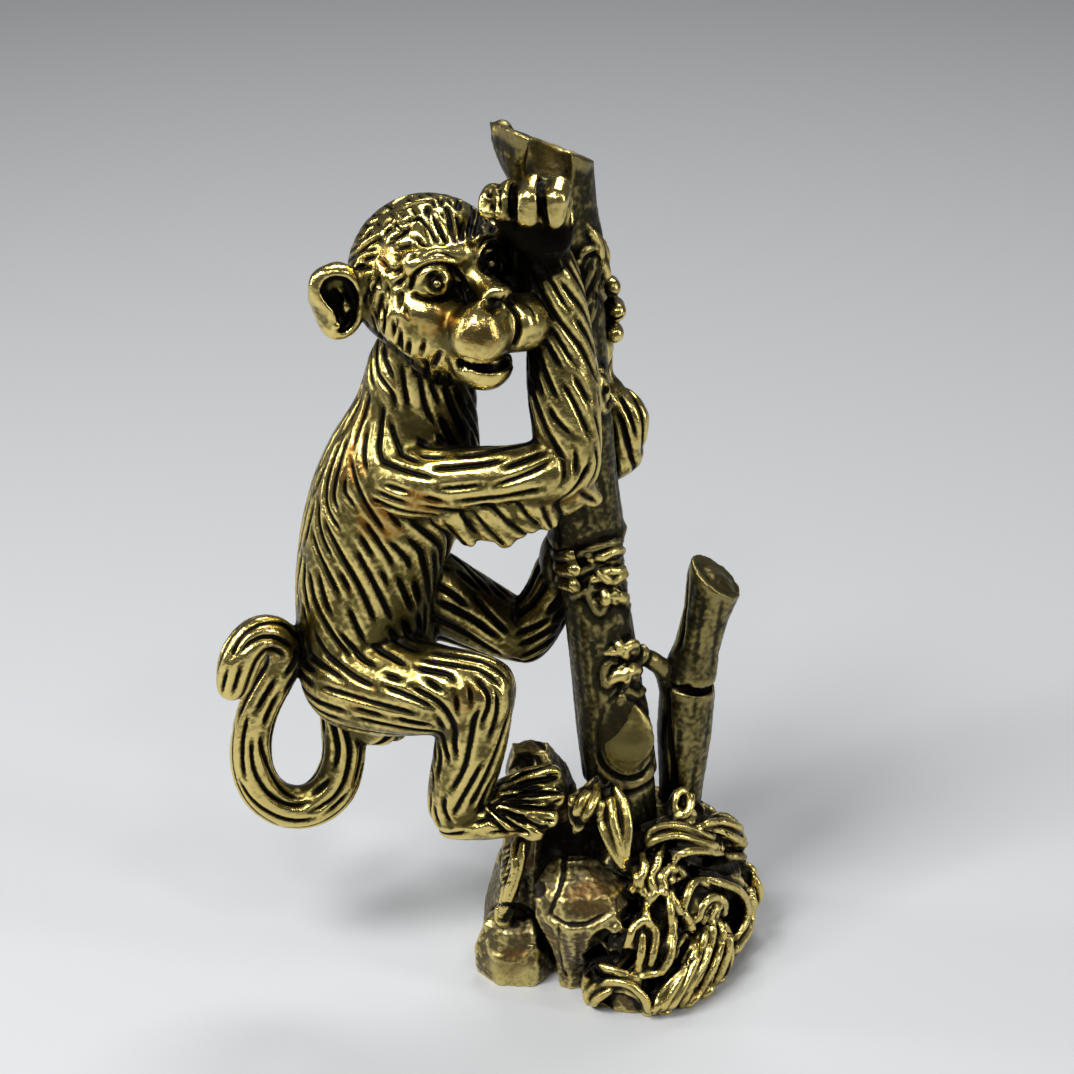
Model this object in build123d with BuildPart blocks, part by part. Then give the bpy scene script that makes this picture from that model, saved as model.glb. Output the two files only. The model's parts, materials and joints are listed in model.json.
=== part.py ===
"""Cast brass ornament: a monkey climbing a slashed bamboo stalk that grows from a rocky, grassy mound.

The figure is built the way its wax pattern is: each sculpted section is made by itself, coped to
the sections made before it, and joined to them face to face. Millimetres, +Z up, the origin in the
middle of the flat underside, +X to the right and -Y towards someone who faces the figure.
"""
from build123d import *
import math
import os

# Whole figure: about the tip of the tall stalk over the table. Every table of places follows it.
figure_height = 75.0

# Tall stalk: a leaning bamboo stem in four sections, its top cut on the slant and hollow
stalk_root_radius = 2.8
stalk_foot_radius = 3.05
stalk_node_radius = 3.1
stalk_waist_radius = 2.65
stalk_neck_radius = 2.95
stalk_collar_radius = 3.2
stalk_mouth_radius = 4.15
stalk_lip = 0.45
slash_angle = 31.0
slash_heading = 210.0
mouth_radius = 3.0
mouth_depth = 5.6
notch_radius = 1.85
notch_half_length = 3.4

# Side stalk: the short stem behind and to the right
side_root_radius = 1.65
side_waist_radius = 1.85
side_node_radius = 2.3
side_mouth_radius = 2.35
side_lip = 0.4
side_slash_angle = 24.0
side_slash_heading = 165.0
side_bore_radius = 1.5
side_bore_depth = 3.4
twig_radius = 0.75

# Relief sprigs: small leaves that lie on the tall stalk
sprig_half_width = 0.8
sprig_half_thickness = 0.6

# Monkey head, in distances forward, to the side and up from the middle of the skull
head_yaw = 40.0
cranium_radius = 6.2
jaw_radius = 4.0
jaw_back = 2.2
jaw_drop = 3.9
jaw_forward = 4.8
chin_radius = 2.4
chin_forward = 6.7
chin_drop = 4.95
muzzle_radius = 3.3
muzzle_back = 4.4
muzzle_forward = 6.2
muzzle_drop = 2.3
lip_radius = 2.25
lip_forward = 8.6
lip_side = 1.9
lip_drop = 1.9
brow_radius = 1.1
brow_forward = 4.9
brow_inner_side = 0.7
brow_rise = 3.35
brow_back = 3.7
brow_outer_side = 4.1
brow_outer_rise = 2.9
cheek_radius = 3.1
cheek_forward = 3.0
cheek_side = 3.3
cheek_drop = 1.9
bridge_radius = 1.05
bridge_back = 4.9
bridge_rise = 2.0
nose_forward = 8.4
nose_rise = 0.35
socket_radius = 1.6
socket_forward = 5.6
eye_radius = 1.1
eye_forward = 4.35
eye_side = 2.85
eye_inner_side = 2.7
eye_rise = 1.4
eye_lift = 0.15
mouth_half_breadth = 3.3
mouth_gap = 0.6
mouth_forward = 7.9
mouth_drop = 4.3
ear_half_height = 3.0
ear_half_width = 2.2
ear_half_thickness = 1.0
ear_break = 0.8
ear_side = 7.5
ear_setback = 1.6
ear_drop = 0.8
ear_cup_depth = 0.8
ear_cup_inset = 0.75
ear_outset_share = 0.35

# Monkey trunk, limbs and tail
torso_radius = 5.9
upper_arm_radius = 2.4
forearm_radius = 2.6
far_upper_arm_radius = 2.1
far_forearm_radius = 1.85
hand_half_breadth = 3.0
hand_half_thickness = 1.5
finger_radius = 0.92
far_hand_half_breadth = 2.4
far_hand_half_thickness = 1.3
far_finger_radius = 0.72
fringe_half_breadth = 1.5
fringe_half_thickness = 1.0
thigh_radius = 3.7
shin_radius = 2.8
foot_half_breadth = 2.7
foot_half_thickness = 1.8
toe_radius = 0.98
far_thigh_radius = 3.1
far_shin_radius = 2.2
far_foot_half_breadth = 1.7
far_foot_half_thickness = 1.3
far_toe_radius = 0.66
tail_radius = 1.8

# Sheath on the tall stalk, and the mound, rocks and plants at its foot
sheath_half_breadth = 2.2
sheath_half_thickness = 0.75
mound_height = 13.8
rock_half_breadth = 3.3
rock_half_depth = 3.0
low_rock_half_depth = 2.7
boulder_half_breadth = 4.0
boulder_half_depth = 2.7
strand_radius = 0.75
ridge_radius = 1.0
leaf_half_width = 1.2
leaf_half_thickness = 0.7
bud_half_thickness = 0.95


def place(share):
    """A point given in shares of the figure's height."""
    return Vector(*(part * figure_height for part in share))


def places(shares):
    """Points for a list of shares."""
    return [place(share) for share in shares]


def square_plane(origin, along, side):
    """A plane square to a direction, its X as near to side as it can be."""
    x_dir = side - along * side.dot(along)
    return Plane(origin=origin, x_dir=x_dir, z_dir=along)


def direction(points, index):
    """The direction of a line of points at one of them."""
    before = points[max(index - 1, 0)]
    after = points[min(index + 1, len(points) - 1)]
    return (after - before).normalized()


# A round end is two more sections: how far out they stand and their size, as shares
end_reach_shares = (0.60, 0.92)
end_size_shares = (0.80, 0.38)


def swelling_form(centres, half_breadths, half_thicknesses, side=Vector(0, 1, 0)):
    """A closed form with round ends, lofted through ellipses square to its centre line."""
    sections = []
    for index, centre in enumerate(centres):
        along = direction(centres, index)
        sections.append((centre, along, half_breadths[index], half_thicknesses[index]))
    first, last = sections[0], sections[-1]
    for reach, size in zip(end_reach_shares, end_size_shares):
        centre, along, breadth, thickness = first
        start = centre - along * min(breadth, thickness) * reach
        sections.insert(0, (start, along, breadth * size, thickness * size))
        centre, along, breadth, thickness = last
        end = centre + along * min(breadth, thickness) * reach
        sections.append((end, along, breadth * size, thickness * size))
    with BuildPart() as form:
        for centre, along, breadth, thickness in sections:
            with BuildSketch(square_plane(centre, along, side)):
                Ellipse(breadth, thickness)
        loft()
    return form.part


def round_limb(centres, radius, swell_shares):
    """A limb of round section whose radius swells by a share at each centre."""
    radii = [radius * share for share in swell_shares]
    return swelling_form(centres, radii, radii)


def ball(centre, along, radius, half_length):
    """A ball drawn out, or flattened, along one direction."""
    side = Vector(0, 0, 1) if abs(along.Z) < max(abs(along.X), abs(along.Y)) else Vector(1, 0, 0)
    plane = square_plane(centre, along, side)
    upright = Plane(origin=centre, x_dir=plane.x_dir, z_dir=-plane.y_dir)
    with BuildPart() as body:
        with BuildSketch(upright):
            Ellipse(radius, half_length)
            with BuildLine():
                Polyline(
                    (0, -half_length),
                    (0, half_length),
                    (-radius, half_length),
                    (-radius, -half_length),
                    close=True,
                )
            make_face(mode=Mode.SUBTRACT)
        revolve(axis=Axis(centre, along))
    return body.part


# A direction that no bone of a finger or toe runs along
any_side = Vector(0.3, 0.5, 0.8)


def digit(points, radius):
    """A finger or toe: straight bones of one thickness, with a round knuckle at every joint."""
    with BuildPart() as bones:
        for point in points:
            with Locations(point):
                Sphere(radius)
        for start, end in zip(points, points[1:]):
            middle = (start + end) / 2
            along = (end - start).normalized()
            with Locations(square_plane(middle, along, any_side)):
                Cylinder(radius, (end - start).length)
    return bones.part


def stem_section(centres, tangents, radii):
    """One length of bamboo, lofted through circles, flat at both ends."""
    with BuildPart() as stem:
        for centre, along, radius in zip(centres, tangents, radii):
            with BuildSketch(square_plane(centre, along, Vector(1, 0, 0))):
                Circle(radius)
        loft(ruled=True)
    return stem.part


made = []
made_boxes = []


def apart(one, other):
    """Whether two boxes have a gap between them."""
    return (
        one.min.X > other.max.X
        or other.min.X > one.max.X
        or one.min.Y > other.max.Y
        or other.min.Y > one.max.Y
        or one.min.Z > other.max.Z
        or other.min.Z > one.max.Z
    )


def coped(form):
    """The form with every piece made before it cut away, kept as its one main solid."""
    form_box = form.bounding_box()
    neighbours = [piece for piece, box in zip(made, made_boxes) if not apart(form_box, box)]
    with BuildPart() as cut:
        add(form)
        if neighbours:
            add(neighbours, mode=Mode.SUBTRACT, clean=False)
    main = cut.part.solids().sort_by(SortBy.VOLUME)[-1]
    made.append(main)
    made_boxes.append(main.bounding_box())
    return main


os.makedirs("parts", exist_ok=True)

# Tall stalk. Its nodes are places on the axis, and neighbours share the plane at a node.

stalk_line_shares = [
    (0.013, 0.005, 0.08),
    (0.002, 0.004, 0.231),
    (-0.037, 0, 0.524),
    (-0.063, 0, 0.861),
    (-0.092, 0, 1.02),
]
stalk_line = places(stalk_line_shares)
stalk_names = ["stalk_root", "stalk_lower", "stalk_middle", "stalk_top"]
# radii at the foot, above its lip, at the quarters, below the head's lip and at the head
stalk_radii = [
    [stalk_root_radius] * 7,
    [
        stalk_root_radius,
        stalk_node_radius,
        stalk_foot_radius,
        stalk_root_radius,
        stalk_waist_radius,
        stalk_waist_radius,
        stalk_waist_radius,
    ],
    [
        stalk_waist_radius,
        stalk_foot_radius,
        stalk_waist_radius,
        stalk_waist_radius,
        stalk_waist_radius,
        stalk_neck_radius,
        stalk_waist_radius,
    ],
    [
        stalk_waist_radius,
        stalk_neck_radius,
        stalk_neck_radius,
        stalk_collar_radius,
        stalk_mouth_radius,
        stalk_mouth_radius,
        stalk_mouth_radius,
    ],
]


def stem_stations(line, index, lip):
    """Where the circles of a stem section stand, and the way each one faces."""
    foot, head = line[index], line[index + 1]
    along = (head - foot).normalized()
    low, high = direction(line, index), direction(line, index + 1)
    quarters = [foot + (head - foot) * (quarter / 4) for quarter in (1, 2, 3)]
    centres = [foot, foot + along * lip, *quarters, head - along * lip, head]
    return centres, [low, low, along, along, along, high, high]


def slashed(stem, centre, along, heading, angle, bore_radius, bore_depth):
    """Cuts a slanting top on a stem and sinks its hollow mouth."""
    level = square_plane(centre, along, Vector(1, 0, 0))
    turn, tilt = math.radians(heading), math.radians(angle)
    high_side = level.x_dir * math.cos(turn) + level.y_dir * math.sin(turn)
    normal = along * math.cos(tilt) - high_side * math.sin(tilt)
    with BuildPart() as cut:
        add(stem)
        split(bisect_by=Plane(origin=centre, x_dir=level.x_dir, z_dir=normal), keep=Keep.BOTTOM)
        add(ball(centre, along, bore_radius, bore_depth), mode=Mode.SUBTRACT)
    return cut.part


slash_centre_share = (-0.085, 0, 0.973)
notch_centre_share = (-0.082, -0.045, 0.963)
for index, name in enumerate(stalk_names):
    centres, tangents = stem_stations(stalk_line, index, stalk_lip)
    stem = stem_section(centres, tangents, stalk_radii[index])
    if name == "stalk_top":
        stem = slashed(
            stem,
            place(slash_centre_share),
            direction(stalk_line, index),
            slash_heading,
            slash_angle,
            mouth_radius,
            mouth_depth,
        )
        stalk_axis = direction(stalk_line, index)
        with BuildPart() as notched:
            add(stem)
            add(
                ball(place(notch_centre_share), stalk_axis, notch_radius, notch_half_length),
                mode=Mode.SUBTRACT,
            )
        stem = notched.part
    with BuildPart() as stalk_section:
        add(coped(stem))
    stalk_section.part.label = name
    export_step(stalk_section.part, f"parts/{name}.step")


# Side stalk

side_line_shares = [(0.068, 0.04, 0.067), (0.077, 0.04, 0.336), (0.113, 0.04, 0.5)]
side_line = places(side_line_shares)
side_slash_centre_share = (0.105, 0.04, 0.465)
side_names = ["side_stalk_lower", "side_stalk_upper"]
side_radii = [
    [
        side_root_radius,
        side_root_radius,
        side_root_radius,
        side_waist_radius,
        side_node_radius,
        side_node_radius,
        side_waist_radius,
    ],
    [
        side_waist_radius,
        side_node_radius,
        side_waist_radius,
        side_waist_radius,
        side_mouth_radius,
        side_mouth_radius,
        side_mouth_radius,
    ],
]
for index, name in enumerate(side_names):
    centres, tangents = stem_stations(side_line, index, side_lip)
    stem = stem_section(centres, tangents, side_radii[index])
    if name == "side_stalk_upper":
        stem = slashed(
            stem,
            place(side_slash_centre_share),
            direction(side_line, index + 1),
            side_slash_heading,
            side_slash_angle,
            side_bore_radius,
            side_bore_depth,
        )
    with BuildPart() as side_section:
        add(coped(stem))
    side_section.part.label = name
    export_step(side_section.part, f"parts/{name}.step")

# Twig that ties the side stalk to the tall one

twig_shares = [(0.022, 0.013, 0.381), (0.039, 0.021, 0.367), (0.054, 0.032, 0.344), (0.064, 0.039, 0.317)]
twig_swell_shares = [1.0, 1.0, 1.3, 1.5]
with BuildPart() as stalk_twig:
    add(coped(round_limb(places(twig_shares), twig_radius, twig_swell_shares)))
stalk_twig.part.label = "stalk_twig"
export_step(stalk_twig.part, "parts/stalk_twig.step")

# Monkey head: skull, brows, cheeks, muzzle, lips and chin in one, with eyes and a smiling mouth

skull_centre_share = (-0.203, -0.013, 0.837)
skull_centre = place(skull_centre_share)
yaw = math.radians(head_yaw)
face_forward = Vector(math.sin(yaw), -math.cos(yaw), 0)
face_left = Vector(math.cos(yaw), math.sin(yaw), 0)
upwards = Vector(0, 0, 1)


def on_head(forward, left, rise):
    return skull_centre + face_forward * forward + face_left * left + upwards * rise


with BuildPart() as head:
    for spot, radius in (
        (on_head(0, 0, 0), cranium_radius),
        (on_head(jaw_back, 0, -jaw_drop), jaw_radius),
        (on_head(jaw_forward, 0, -chin_drop), chin_radius),
        (on_head(muzzle_back, 0, -muzzle_drop), muzzle_radius),
        (on_head(muzzle_forward, 0, -muzzle_drop), muzzle_radius),
        (on_head(chin_forward, 0, -chin_drop), chin_radius),
    ):
        with Locations(spot):
            Sphere(radius)
    for side in (-1, 1):
        with Locations(on_head(lip_forward, side * lip_side, -lip_drop)):
            Sphere(lip_radius)
        with Locations(on_head(cheek_forward, side * cheek_side, -cheek_drop)):
            Sphere(cheek_radius)
        brow_points = [
            on_head(brow_forward, side * brow_inner_side, brow_rise),
            on_head(brow_back, side * brow_outer_side, brow_outer_rise),
        ]
        add(digit(brow_points, brow_radius))
    add(digit([on_head(bridge_back, 0, bridge_rise), on_head(nose_forward, 0, nose_rise)], bridge_radius))
    for side in (-1, 1):
        with Locations(on_head(socket_forward, side * eye_side, eye_rise)):
            Sphere(socket_radius, mode=Mode.SUBTRACT)
        with Locations(on_head(eye_forward, side * eye_inner_side, eye_rise + eye_lift)):
            Sphere(eye_radius)
    with Locations(on_head(mouth_forward, 0, -mouth_drop)):
        Cylinder(mouth_half_breadth, mouth_gap, mode=Mode.SUBTRACT)
head_form = head.part
with BuildPart() as head:
    add(coped(head_form))
head.part.label = "head"
export_step(head.part, "parts/head.step")

# Ears: flat cups that face forward

for side, name in ((-1, "right_ear"), (1, "left_ear")):
    ear_facing = (face_forward + face_left * side * ear_outset_share).normalized()
    ear_across = ear_facing.cross(upwards).normalized()
    ear_centre = on_head(-ear_setback, side * ear_side, -ear_drop)
    with BuildPart() as ear_cup:
        with BuildSketch(square_plane(ear_centre, ear_facing, ear_across)):
            Ellipse(ear_half_width, ear_half_height)
        extrude(amount=ear_half_thickness, both=True)
        fillet(ear_cup.edges(), ear_break)
        ear_front = ear_centre + ear_facing * ear_half_thickness
        with BuildSketch(square_plane(ear_front, ear_facing, ear_across)):
            Ellipse(ear_half_width - ear_cup_inset, ear_half_height - ear_cup_inset)
        extrude(amount=-ear_cup_depth, mode=Mode.SUBTRACT)
    with BuildPart() as ear:
        add(coped(ear_cup.part))
    ear.part.label = name
    export_step(ear.part, f"parts/{name}.step")

# Torso: neck, shoulders, back, belly and rump

torso_shares = [
    (-0.213, -0.004, 0.728),
    (-0.217, 0, 0.69),
    (-0.229, 0, 0.634),
    (-0.253, 0, 0.57),
    (-0.273, 0, 0.504),
    (-0.279, 0, 0.431),
    (-0.274, 0, 0.375),
    (-0.269, 0, 0.337),
]
torso_breadth_shares = [0.70, 0.77, 1.02, 1.0, 0.97, 0.98, 0.90, 0.66]
torso_depth_shares = [0.72, 0.80, 1.0, 1.06, 0.99, 0.95, 0.88, 0.66]
with BuildPart() as torso:
    add(
        coped(
            swelling_form(
                places(torso_shares),
                [torso_radius * share for share in torso_breadth_shares],
                [torso_radius * share for share in torso_depth_shares],
            )
        )
    )
torso.part.label = "torso"
export_step(torso.part, "parts/torso.step")

# Round limbs and the tail: name, centre line, radius and swell along it

limb_shares = [
    (
        "right_upper_arm",
        [
            (-0.237, -0.048, 0.622),
            (-0.201, -0.075, 0.633),
            (-0.156, -0.087, 0.643),
            (-0.109, -0.089, 0.648),
            (-0.072, -0.083, 0.649),
        ],
        upper_arm_radius,
        [1.25, 1.15, 1.0, 0.96, 0.98],
    ),
    (
        "right_forearm",
        [
            (-0.058, -0.072, 0.653),
            (-0.061, -0.067, 0.685),
            (-0.064, -0.059, 0.723),
            (-0.068, -0.052, 0.77),
            (-0.073, -0.049, 0.823),
            (-0.079, -0.051, 0.864),
        ],
        forearm_radius,
        [0.93, 1.02, 1.08, 1.0, 0.88, 0.74],
    ),
    (
        "left_upper_arm",
        [
            (-0.221, 0.051, 0.569),
            (-0.165, 0.077, 0.561),
            (-0.1, 0.083, 0.566),
            (-0.04, 0.069, 0.587),
            (-0.004, 0.056, 0.607),
        ],
        far_upper_arm_radius,
        [1.3, 1.05, 1.0, 1.0, 0.95],
    ),
    (
        "left_forearm",
        [
            (-0.001, 0.053, 0.622),
            (0.001, 0.052, 0.651),
            (-0.018, 0.059, 0.669),
            (-0.033, 0.063, 0.709),
            (-0.039, 0.06, 0.752),
        ],
        far_forearm_radius,
        [1.02, 1.05, 1.0, 0.9, 0.85],
    ),
    (
        "right_thigh",
        [
            (-0.289, -0.035, 0.381),
            (-0.244, -0.064, 0.387),
            (-0.2, -0.088, 0.394),
            (-0.155, -0.099, 0.397),
        ],
        thigh_radius,
        [1.2, 1.14, 0.98, 0.84],
    ),
    (
        "right_shin",
        [
            (-0.155, -0.099, 0.382),
            (-0.163, -0.096, 0.334),
            (-0.173, -0.092, 0.284),
            (-0.181, -0.089, 0.253),
        ],
        shin_radius,
        [1.0, 1.03, 0.96, 0.84],
    ),
    (
        "left_thigh",
        [
            (-0.221, 0.032, 0.454),
            (-0.183, 0.051, 0.425),
            (-0.147, 0.061, 0.401),
            (-0.113, 0.061, 0.383),
        ],
        far_thigh_radius,
        [1.2, 1.08, 0.96, 0.80],
    ),
    (
        "left_shin",
        [
            (-0.104, 0.059, 0.38),
            (-0.089, 0.053, 0.412),
            (-0.075, 0.045, 0.447),
            (-0.069, 0.04, 0.475),
        ],
        far_shin_radius,
        [1.0, 1.06, 0.95, 0.85],
    ),
    (
        "tail",
        [
            (-0.304, -0.008, 0.329),
            (-0.306, -0.011, 0.289),
            (-0.313, -0.016, 0.244),
            (-0.337, -0.023, 0.214),
            (-0.37, -0.028, 0.211),
            (-0.399, -0.032, 0.237),
            (-0.408, -0.032, 0.283),
            (-0.4, -0.027, 0.329),
            (-0.382, -0.021, 0.368),
            (-0.367, -0.024, 0.401),
            (-0.375, -0.043, 0.434),
            (-0.395, -0.063, 0.44),
            (-0.41, -0.072, 0.42),
            (-0.417, -0.075, 0.395),
        ],
        tail_radius,
        [1.1, 1.05, 1.05, 1.03, 1.0, 0.98, 0.95, 0.93, 0.95, 0.92, 0.90, 0.92, 0.92, 0.80],
    ),
]
for name, line_shares, radius, swell_shares in limb_shares:
    with BuildPart() as limb:
        add(coped(round_limb(places(line_shares), radius, swell_shares)))
    limb.part.label = name
    export_step(limb.part, f"parts/{name}.step")

# Hair that hangs under the right arm

fringe_shares = [
    [(-0.184, -0.085, 0.63), (-0.174, -0.088, 0.595), (-0.162, -0.085, 0.568)],
    [(-0.142, -0.091, 0.632), (-0.133, -0.091, 0.596), (-0.124, -0.085, 0.567)],
    [(-0.105, -0.091, 0.635), (-0.091, -0.088, 0.606), (-0.078, -0.083, 0.587)],
    [(-0.066, -0.08, 0.636), (-0.047, -0.075, 0.62), (-0.031, -0.067, 0.607)],
]
fringe_taper_shares = [1.3, 1.0, 0.45]
with BuildPart() as fringe_tufts:
    for tuft_shares in fringe_shares:
        add(
            swelling_form(
                places(tuft_shares),
                [fringe_half_thickness * share for share in fringe_taper_shares],
                [fringe_half_breadth * share for share in fringe_taper_shares],
            )
        )
with BuildPart() as fringe:
    add(coped(fringe_tufts.part))
fringe.part.label = "right_arm_fringe"
export_step(fringe.part, "parts/right_arm_fringe.step")


def hand_or_foot(name, core, digits, digit_radius):
    """Fuses a palm or sole with its digits, copes it and writes it."""
    with BuildPart() as whole:
        add(core)
        for points in digits:
            add(digit(places(points), digit_radius))
    with BuildPart() as extremity:
        add(coped(whole.part))
    extremity.part.label = name
    export_step(extremity.part, f"parts/{name}.step")


# Right hand: four fingers bent over the front of the stalk

right_palm_shares = [(-0.082, -0.061, 0.885), (-0.091, -0.056, 0.908), (-0.099, -0.053, 0.931)]
right_palm_swell_shares = [0.70, 0.95, 1.0]
right_finger_shares = [
    [(-0.073, -0.051, 0.924), (-0.07, -0.065, 0.947), (-0.073, -0.083, 0.942), (-0.077, -0.083, 0.923)],
    [(-0.098, -0.051, 0.924), (-0.095, -0.065, 0.949), (-0.099, -0.083, 0.943), (-0.102, -0.083, 0.925)],
    [(-0.117, -0.048, 0.922), (-0.118, -0.061, 0.942), (-0.122, -0.075, 0.938), (-0.123, -0.075, 0.928)],
    [(-0.129, -0.043, 0.919), (-0.135, -0.053, 0.935), (-0.138, -0.064, 0.932), (-0.138, -0.064, 0.926)],
]
hand_or_foot(
    "right_hand",
    swelling_form(
        places(right_palm_shares),
        [hand_half_thickness * share for share in right_palm_swell_shares],
        [hand_half_breadth * share for share in right_palm_swell_shares],
    ),
    right_finger_shares,
    finger_radius,
)

# Left hand: behind the stalk, its fingers coming round the far side

left_palm_shares = [(-0.038, 0.06, 0.745), (-0.036, 0.056, 0.766), (-0.034, 0.051, 0.787)]
left_palm_swell_shares = [0.85, 1.0, 0.9]
left_finger_shares = [
    [(-0.032, 0.048, 0.795), (-0.016, 0.035, 0.808), (-0.015, 0.012, 0.813)],
    [(-0.032, 0.048, 0.774), (-0.01, 0.035, 0.784), (-0.009, 0.012, 0.786)],
    [(-0.032, 0.048, 0.752), (-0.012, 0.035, 0.757), (-0.011, 0.012, 0.762)],
]
hand_or_foot(
    "left_hand",
    swelling_form(
        places(left_palm_shares),
        [far_hand_half_thickness * share for share in left_palm_swell_shares],
        [far_hand_half_breadth * share for share in left_palm_swell_shares],
    ),
    left_finger_shares,
    far_finger_radius,
)

# Right foot: flat sole and four spread toes that grip the rock

right_sole_shares = [(-0.182, -0.089, 0.234), (-0.152, -0.092, 0.24), (-0.124, -0.093, 0.249)]
right_sole_swell_shares = [0.85, 0.98, 1.1]
right_toe_shares = [
    [(-0.128, -0.069, 0.257), (-0.1, -0.069, 0.271), (-0.078, -0.072, 0.277)],
    [(-0.126, -0.083, 0.255), (-0.095, -0.085, 0.262), (-0.075, -0.088, 0.26)],
    [(-0.126, -0.096, 0.256), (-0.1, -0.101, 0.253), (-0.082, -0.104, 0.243)],
    [(-0.132, -0.107, 0.252), (-0.11, -0.113, 0.243), (-0.095, -0.116, 0.236)],
]
hand_or_foot(
    "right_foot",
    swelling_form(
        places(right_sole_shares),
        [foot_half_breadth * share for share in right_sole_swell_shares],
        [foot_half_thickness * share for share in right_sole_swell_shares],
    ),
    right_toe_shares,
    toe_radius,
)

# Left foot: pressed to the side of the stalk, toes round its front

left_sole_shares = [(-0.068, 0.036, 0.469), (-0.071, 0.025, 0.492), (-0.069, 0.011, 0.515)]
left_sole_swell_shares = [0.9, 1.05, 0.95]
left_toe_shares = [
    [(-0.069, 0.008, 0.505), (-0.067, -0.016, 0.522), (-0.055, -0.032, 0.529)],
    [(-0.067, 0.008, 0.493), (-0.065, -0.016, 0.504), (-0.052, -0.032, 0.51)],
    [(-0.065, 0.011, 0.477), (-0.063, -0.013, 0.485), (-0.051, -0.029, 0.489)],
]
hand_or_foot(
    "left_foot",
    swelling_form(
        places(left_sole_shares),
        [far_foot_half_breadth * share for share in left_sole_swell_shares],
        [far_foot_half_thickness * share for share in left_sole_swell_shares],
    ),
    left_toe_shares,
    far_toe_radius,
)

# Relief sprigs and a sheath that lie on the tall stalk


# A blade's size along its length, as shares of its greatest size
blade_shape_shares = (0.12, 0.55, 0.88, 1.0, 0.86, 0.52, 0.12)


# The way the leaves and reliefs face: towards the front and a little up
facing_share = (0, -0.9, 0.44)
facing = place(facing_share).normalized()


def blade(points, half_breadth, half_thickness):
    """One leaf, pointed at both ends, that follows a smooth line through its points."""
    with BuildLine() as centre_line:
        Spline(*points)
    spine = centre_line.edge()
    with BuildPart() as body:
        for index, size in enumerate(blade_shape_shares):
            station = index / (len(blade_shape_shares) - 1)
            along = spine % station
            with BuildSketch(square_plane(spine @ station, along, facing.cross(along))):
                Ellipse(half_breadth * size, half_thickness * size)
        loft()
    return body.part


def strands(table, radius):
    """Several round strands of grass in one form, cut off level with the table."""
    with BuildPart() as stems:
        for shares in table:
            add(digit(places(shares), radius))
        if stems.part.bounding_box().min.Z < 0:
            split(bisect_by=Plane.XY, keep=Keep.TOP)
    return stems.part


leaves_on_stalk_shares = {
    "sprig_top": [
        (-0.047, -0.031, 0.893),
        (-0.03, -0.015, 0.868),
        (-0.027, -0.011, 0.839),
        (-0.031, -0.021, 0.812),
    ],
    "sprig_high": [(-0.03, -0.026, 0.741), (-0.027, -0.03, 0.718), (-0.022, -0.023, 0.691)],
    "sprig_middle_upper": [(-0.038, -0.037, 0.523), (-0.019, -0.032, 0.53), (-0.001, -0.008, 0.513)],
    "sprig_middle_centre": [(-0.035, -0.038, 0.499), (-0.016, -0.032, 0.504), (0.003, -0.009, 0.485)],
    "sprig_middle_lower": [(-0.031, -0.037, 0.473), (-0.011, -0.032, 0.477), (0.004, -0.015, 0.461)],
    "sprig_low_upper": [(-0.019, -0.036, 0.408), (-0.002, -0.031, 0.413), (0.017, -0.006, 0.39)],
    "sprig_low_lower": [(-0.017, -0.036, 0.376), (0.001, -0.032, 0.383), (0.019, -0.012, 0.363)],
}
for name, shares in leaves_on_stalk_shares.items():
    with BuildPart() as sprig:
        add(coped(blade(places(shares), sprig_half_width, sprig_half_thickness)))
    sprig.part.label = name
    export_step(sprig.part, f"parts/{name}.step")

# Sheath that wraps the foot of the tall stalk

sheath_shares = [
    (0.007, -0.026, 0.346),
    (0.008, -0.03, 0.304),
    (0.006, -0.034, 0.269),
    (0.006, -0.032, 0.254),
]
with BuildPart() as stalk_sheath:
    add(coped(blade(places(sheath_shares), sheath_half_breadth, sheath_half_thickness)))
stalk_sheath.part.label = "stalk_sheath"
export_step(stalk_sheath.part, "parts/stalk_sheath.step")

# Mound: a closed outline that shrinks as it climbs, flat underneath

mound_outline_shares = [
    (-0.151, -0.02),
    (-0.128, -0.056),
    (-0.085, -0.045),
    (-0.045, -0.069),
    (-0.016, -0.115),
    (0.035, -0.125),
    (0.083, -0.099),
    (0.123, -0.045),
    (0.152, 0.016),
    (0.163, 0.072),
    (0.12, 0.117),
    (0.04, 0.131),
    (-0.053, 0.125),
    (-0.123, 0.091),
    (-0.155, 0.032),
]
mound_levels_shares = [
    (0, 1, 1, 0, 0),
    (0.3, 0.97, 0.95, 0, 0),
    (0.62, 0.88, 0.8, 0, 0.0027),
    (0.86, 0.66, 0.6, 0.0053, 0.0053),
    (1, 0.44, 0.4, 0.0107, 0.008),
]
with BuildPart() as mound_form:
    for height_share, width_share, depth_share, shift_x, shift_y in mound_levels_shares:
        with BuildSketch(Plane.XY.offset(height_share * mound_height)):
            with BuildLine():
                Spline(
                    *[
                        (
                            x * figure_height * width_share + shift_x * figure_height,
                            y * figure_height * depth_share + shift_y * figure_height,
                        )
                        for x, y in mound_outline_shares
                    ],
                    periodic=True,
                )
            make_face()
    loft(ruled=True)
with BuildPart() as mound:
    add(coped(mound_form.part))
mound.part.label = "mound"
export_step(mound.part, "parts/mound.step")

# Rocks: six-sided outlines joined by flat-sided lofts


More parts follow.
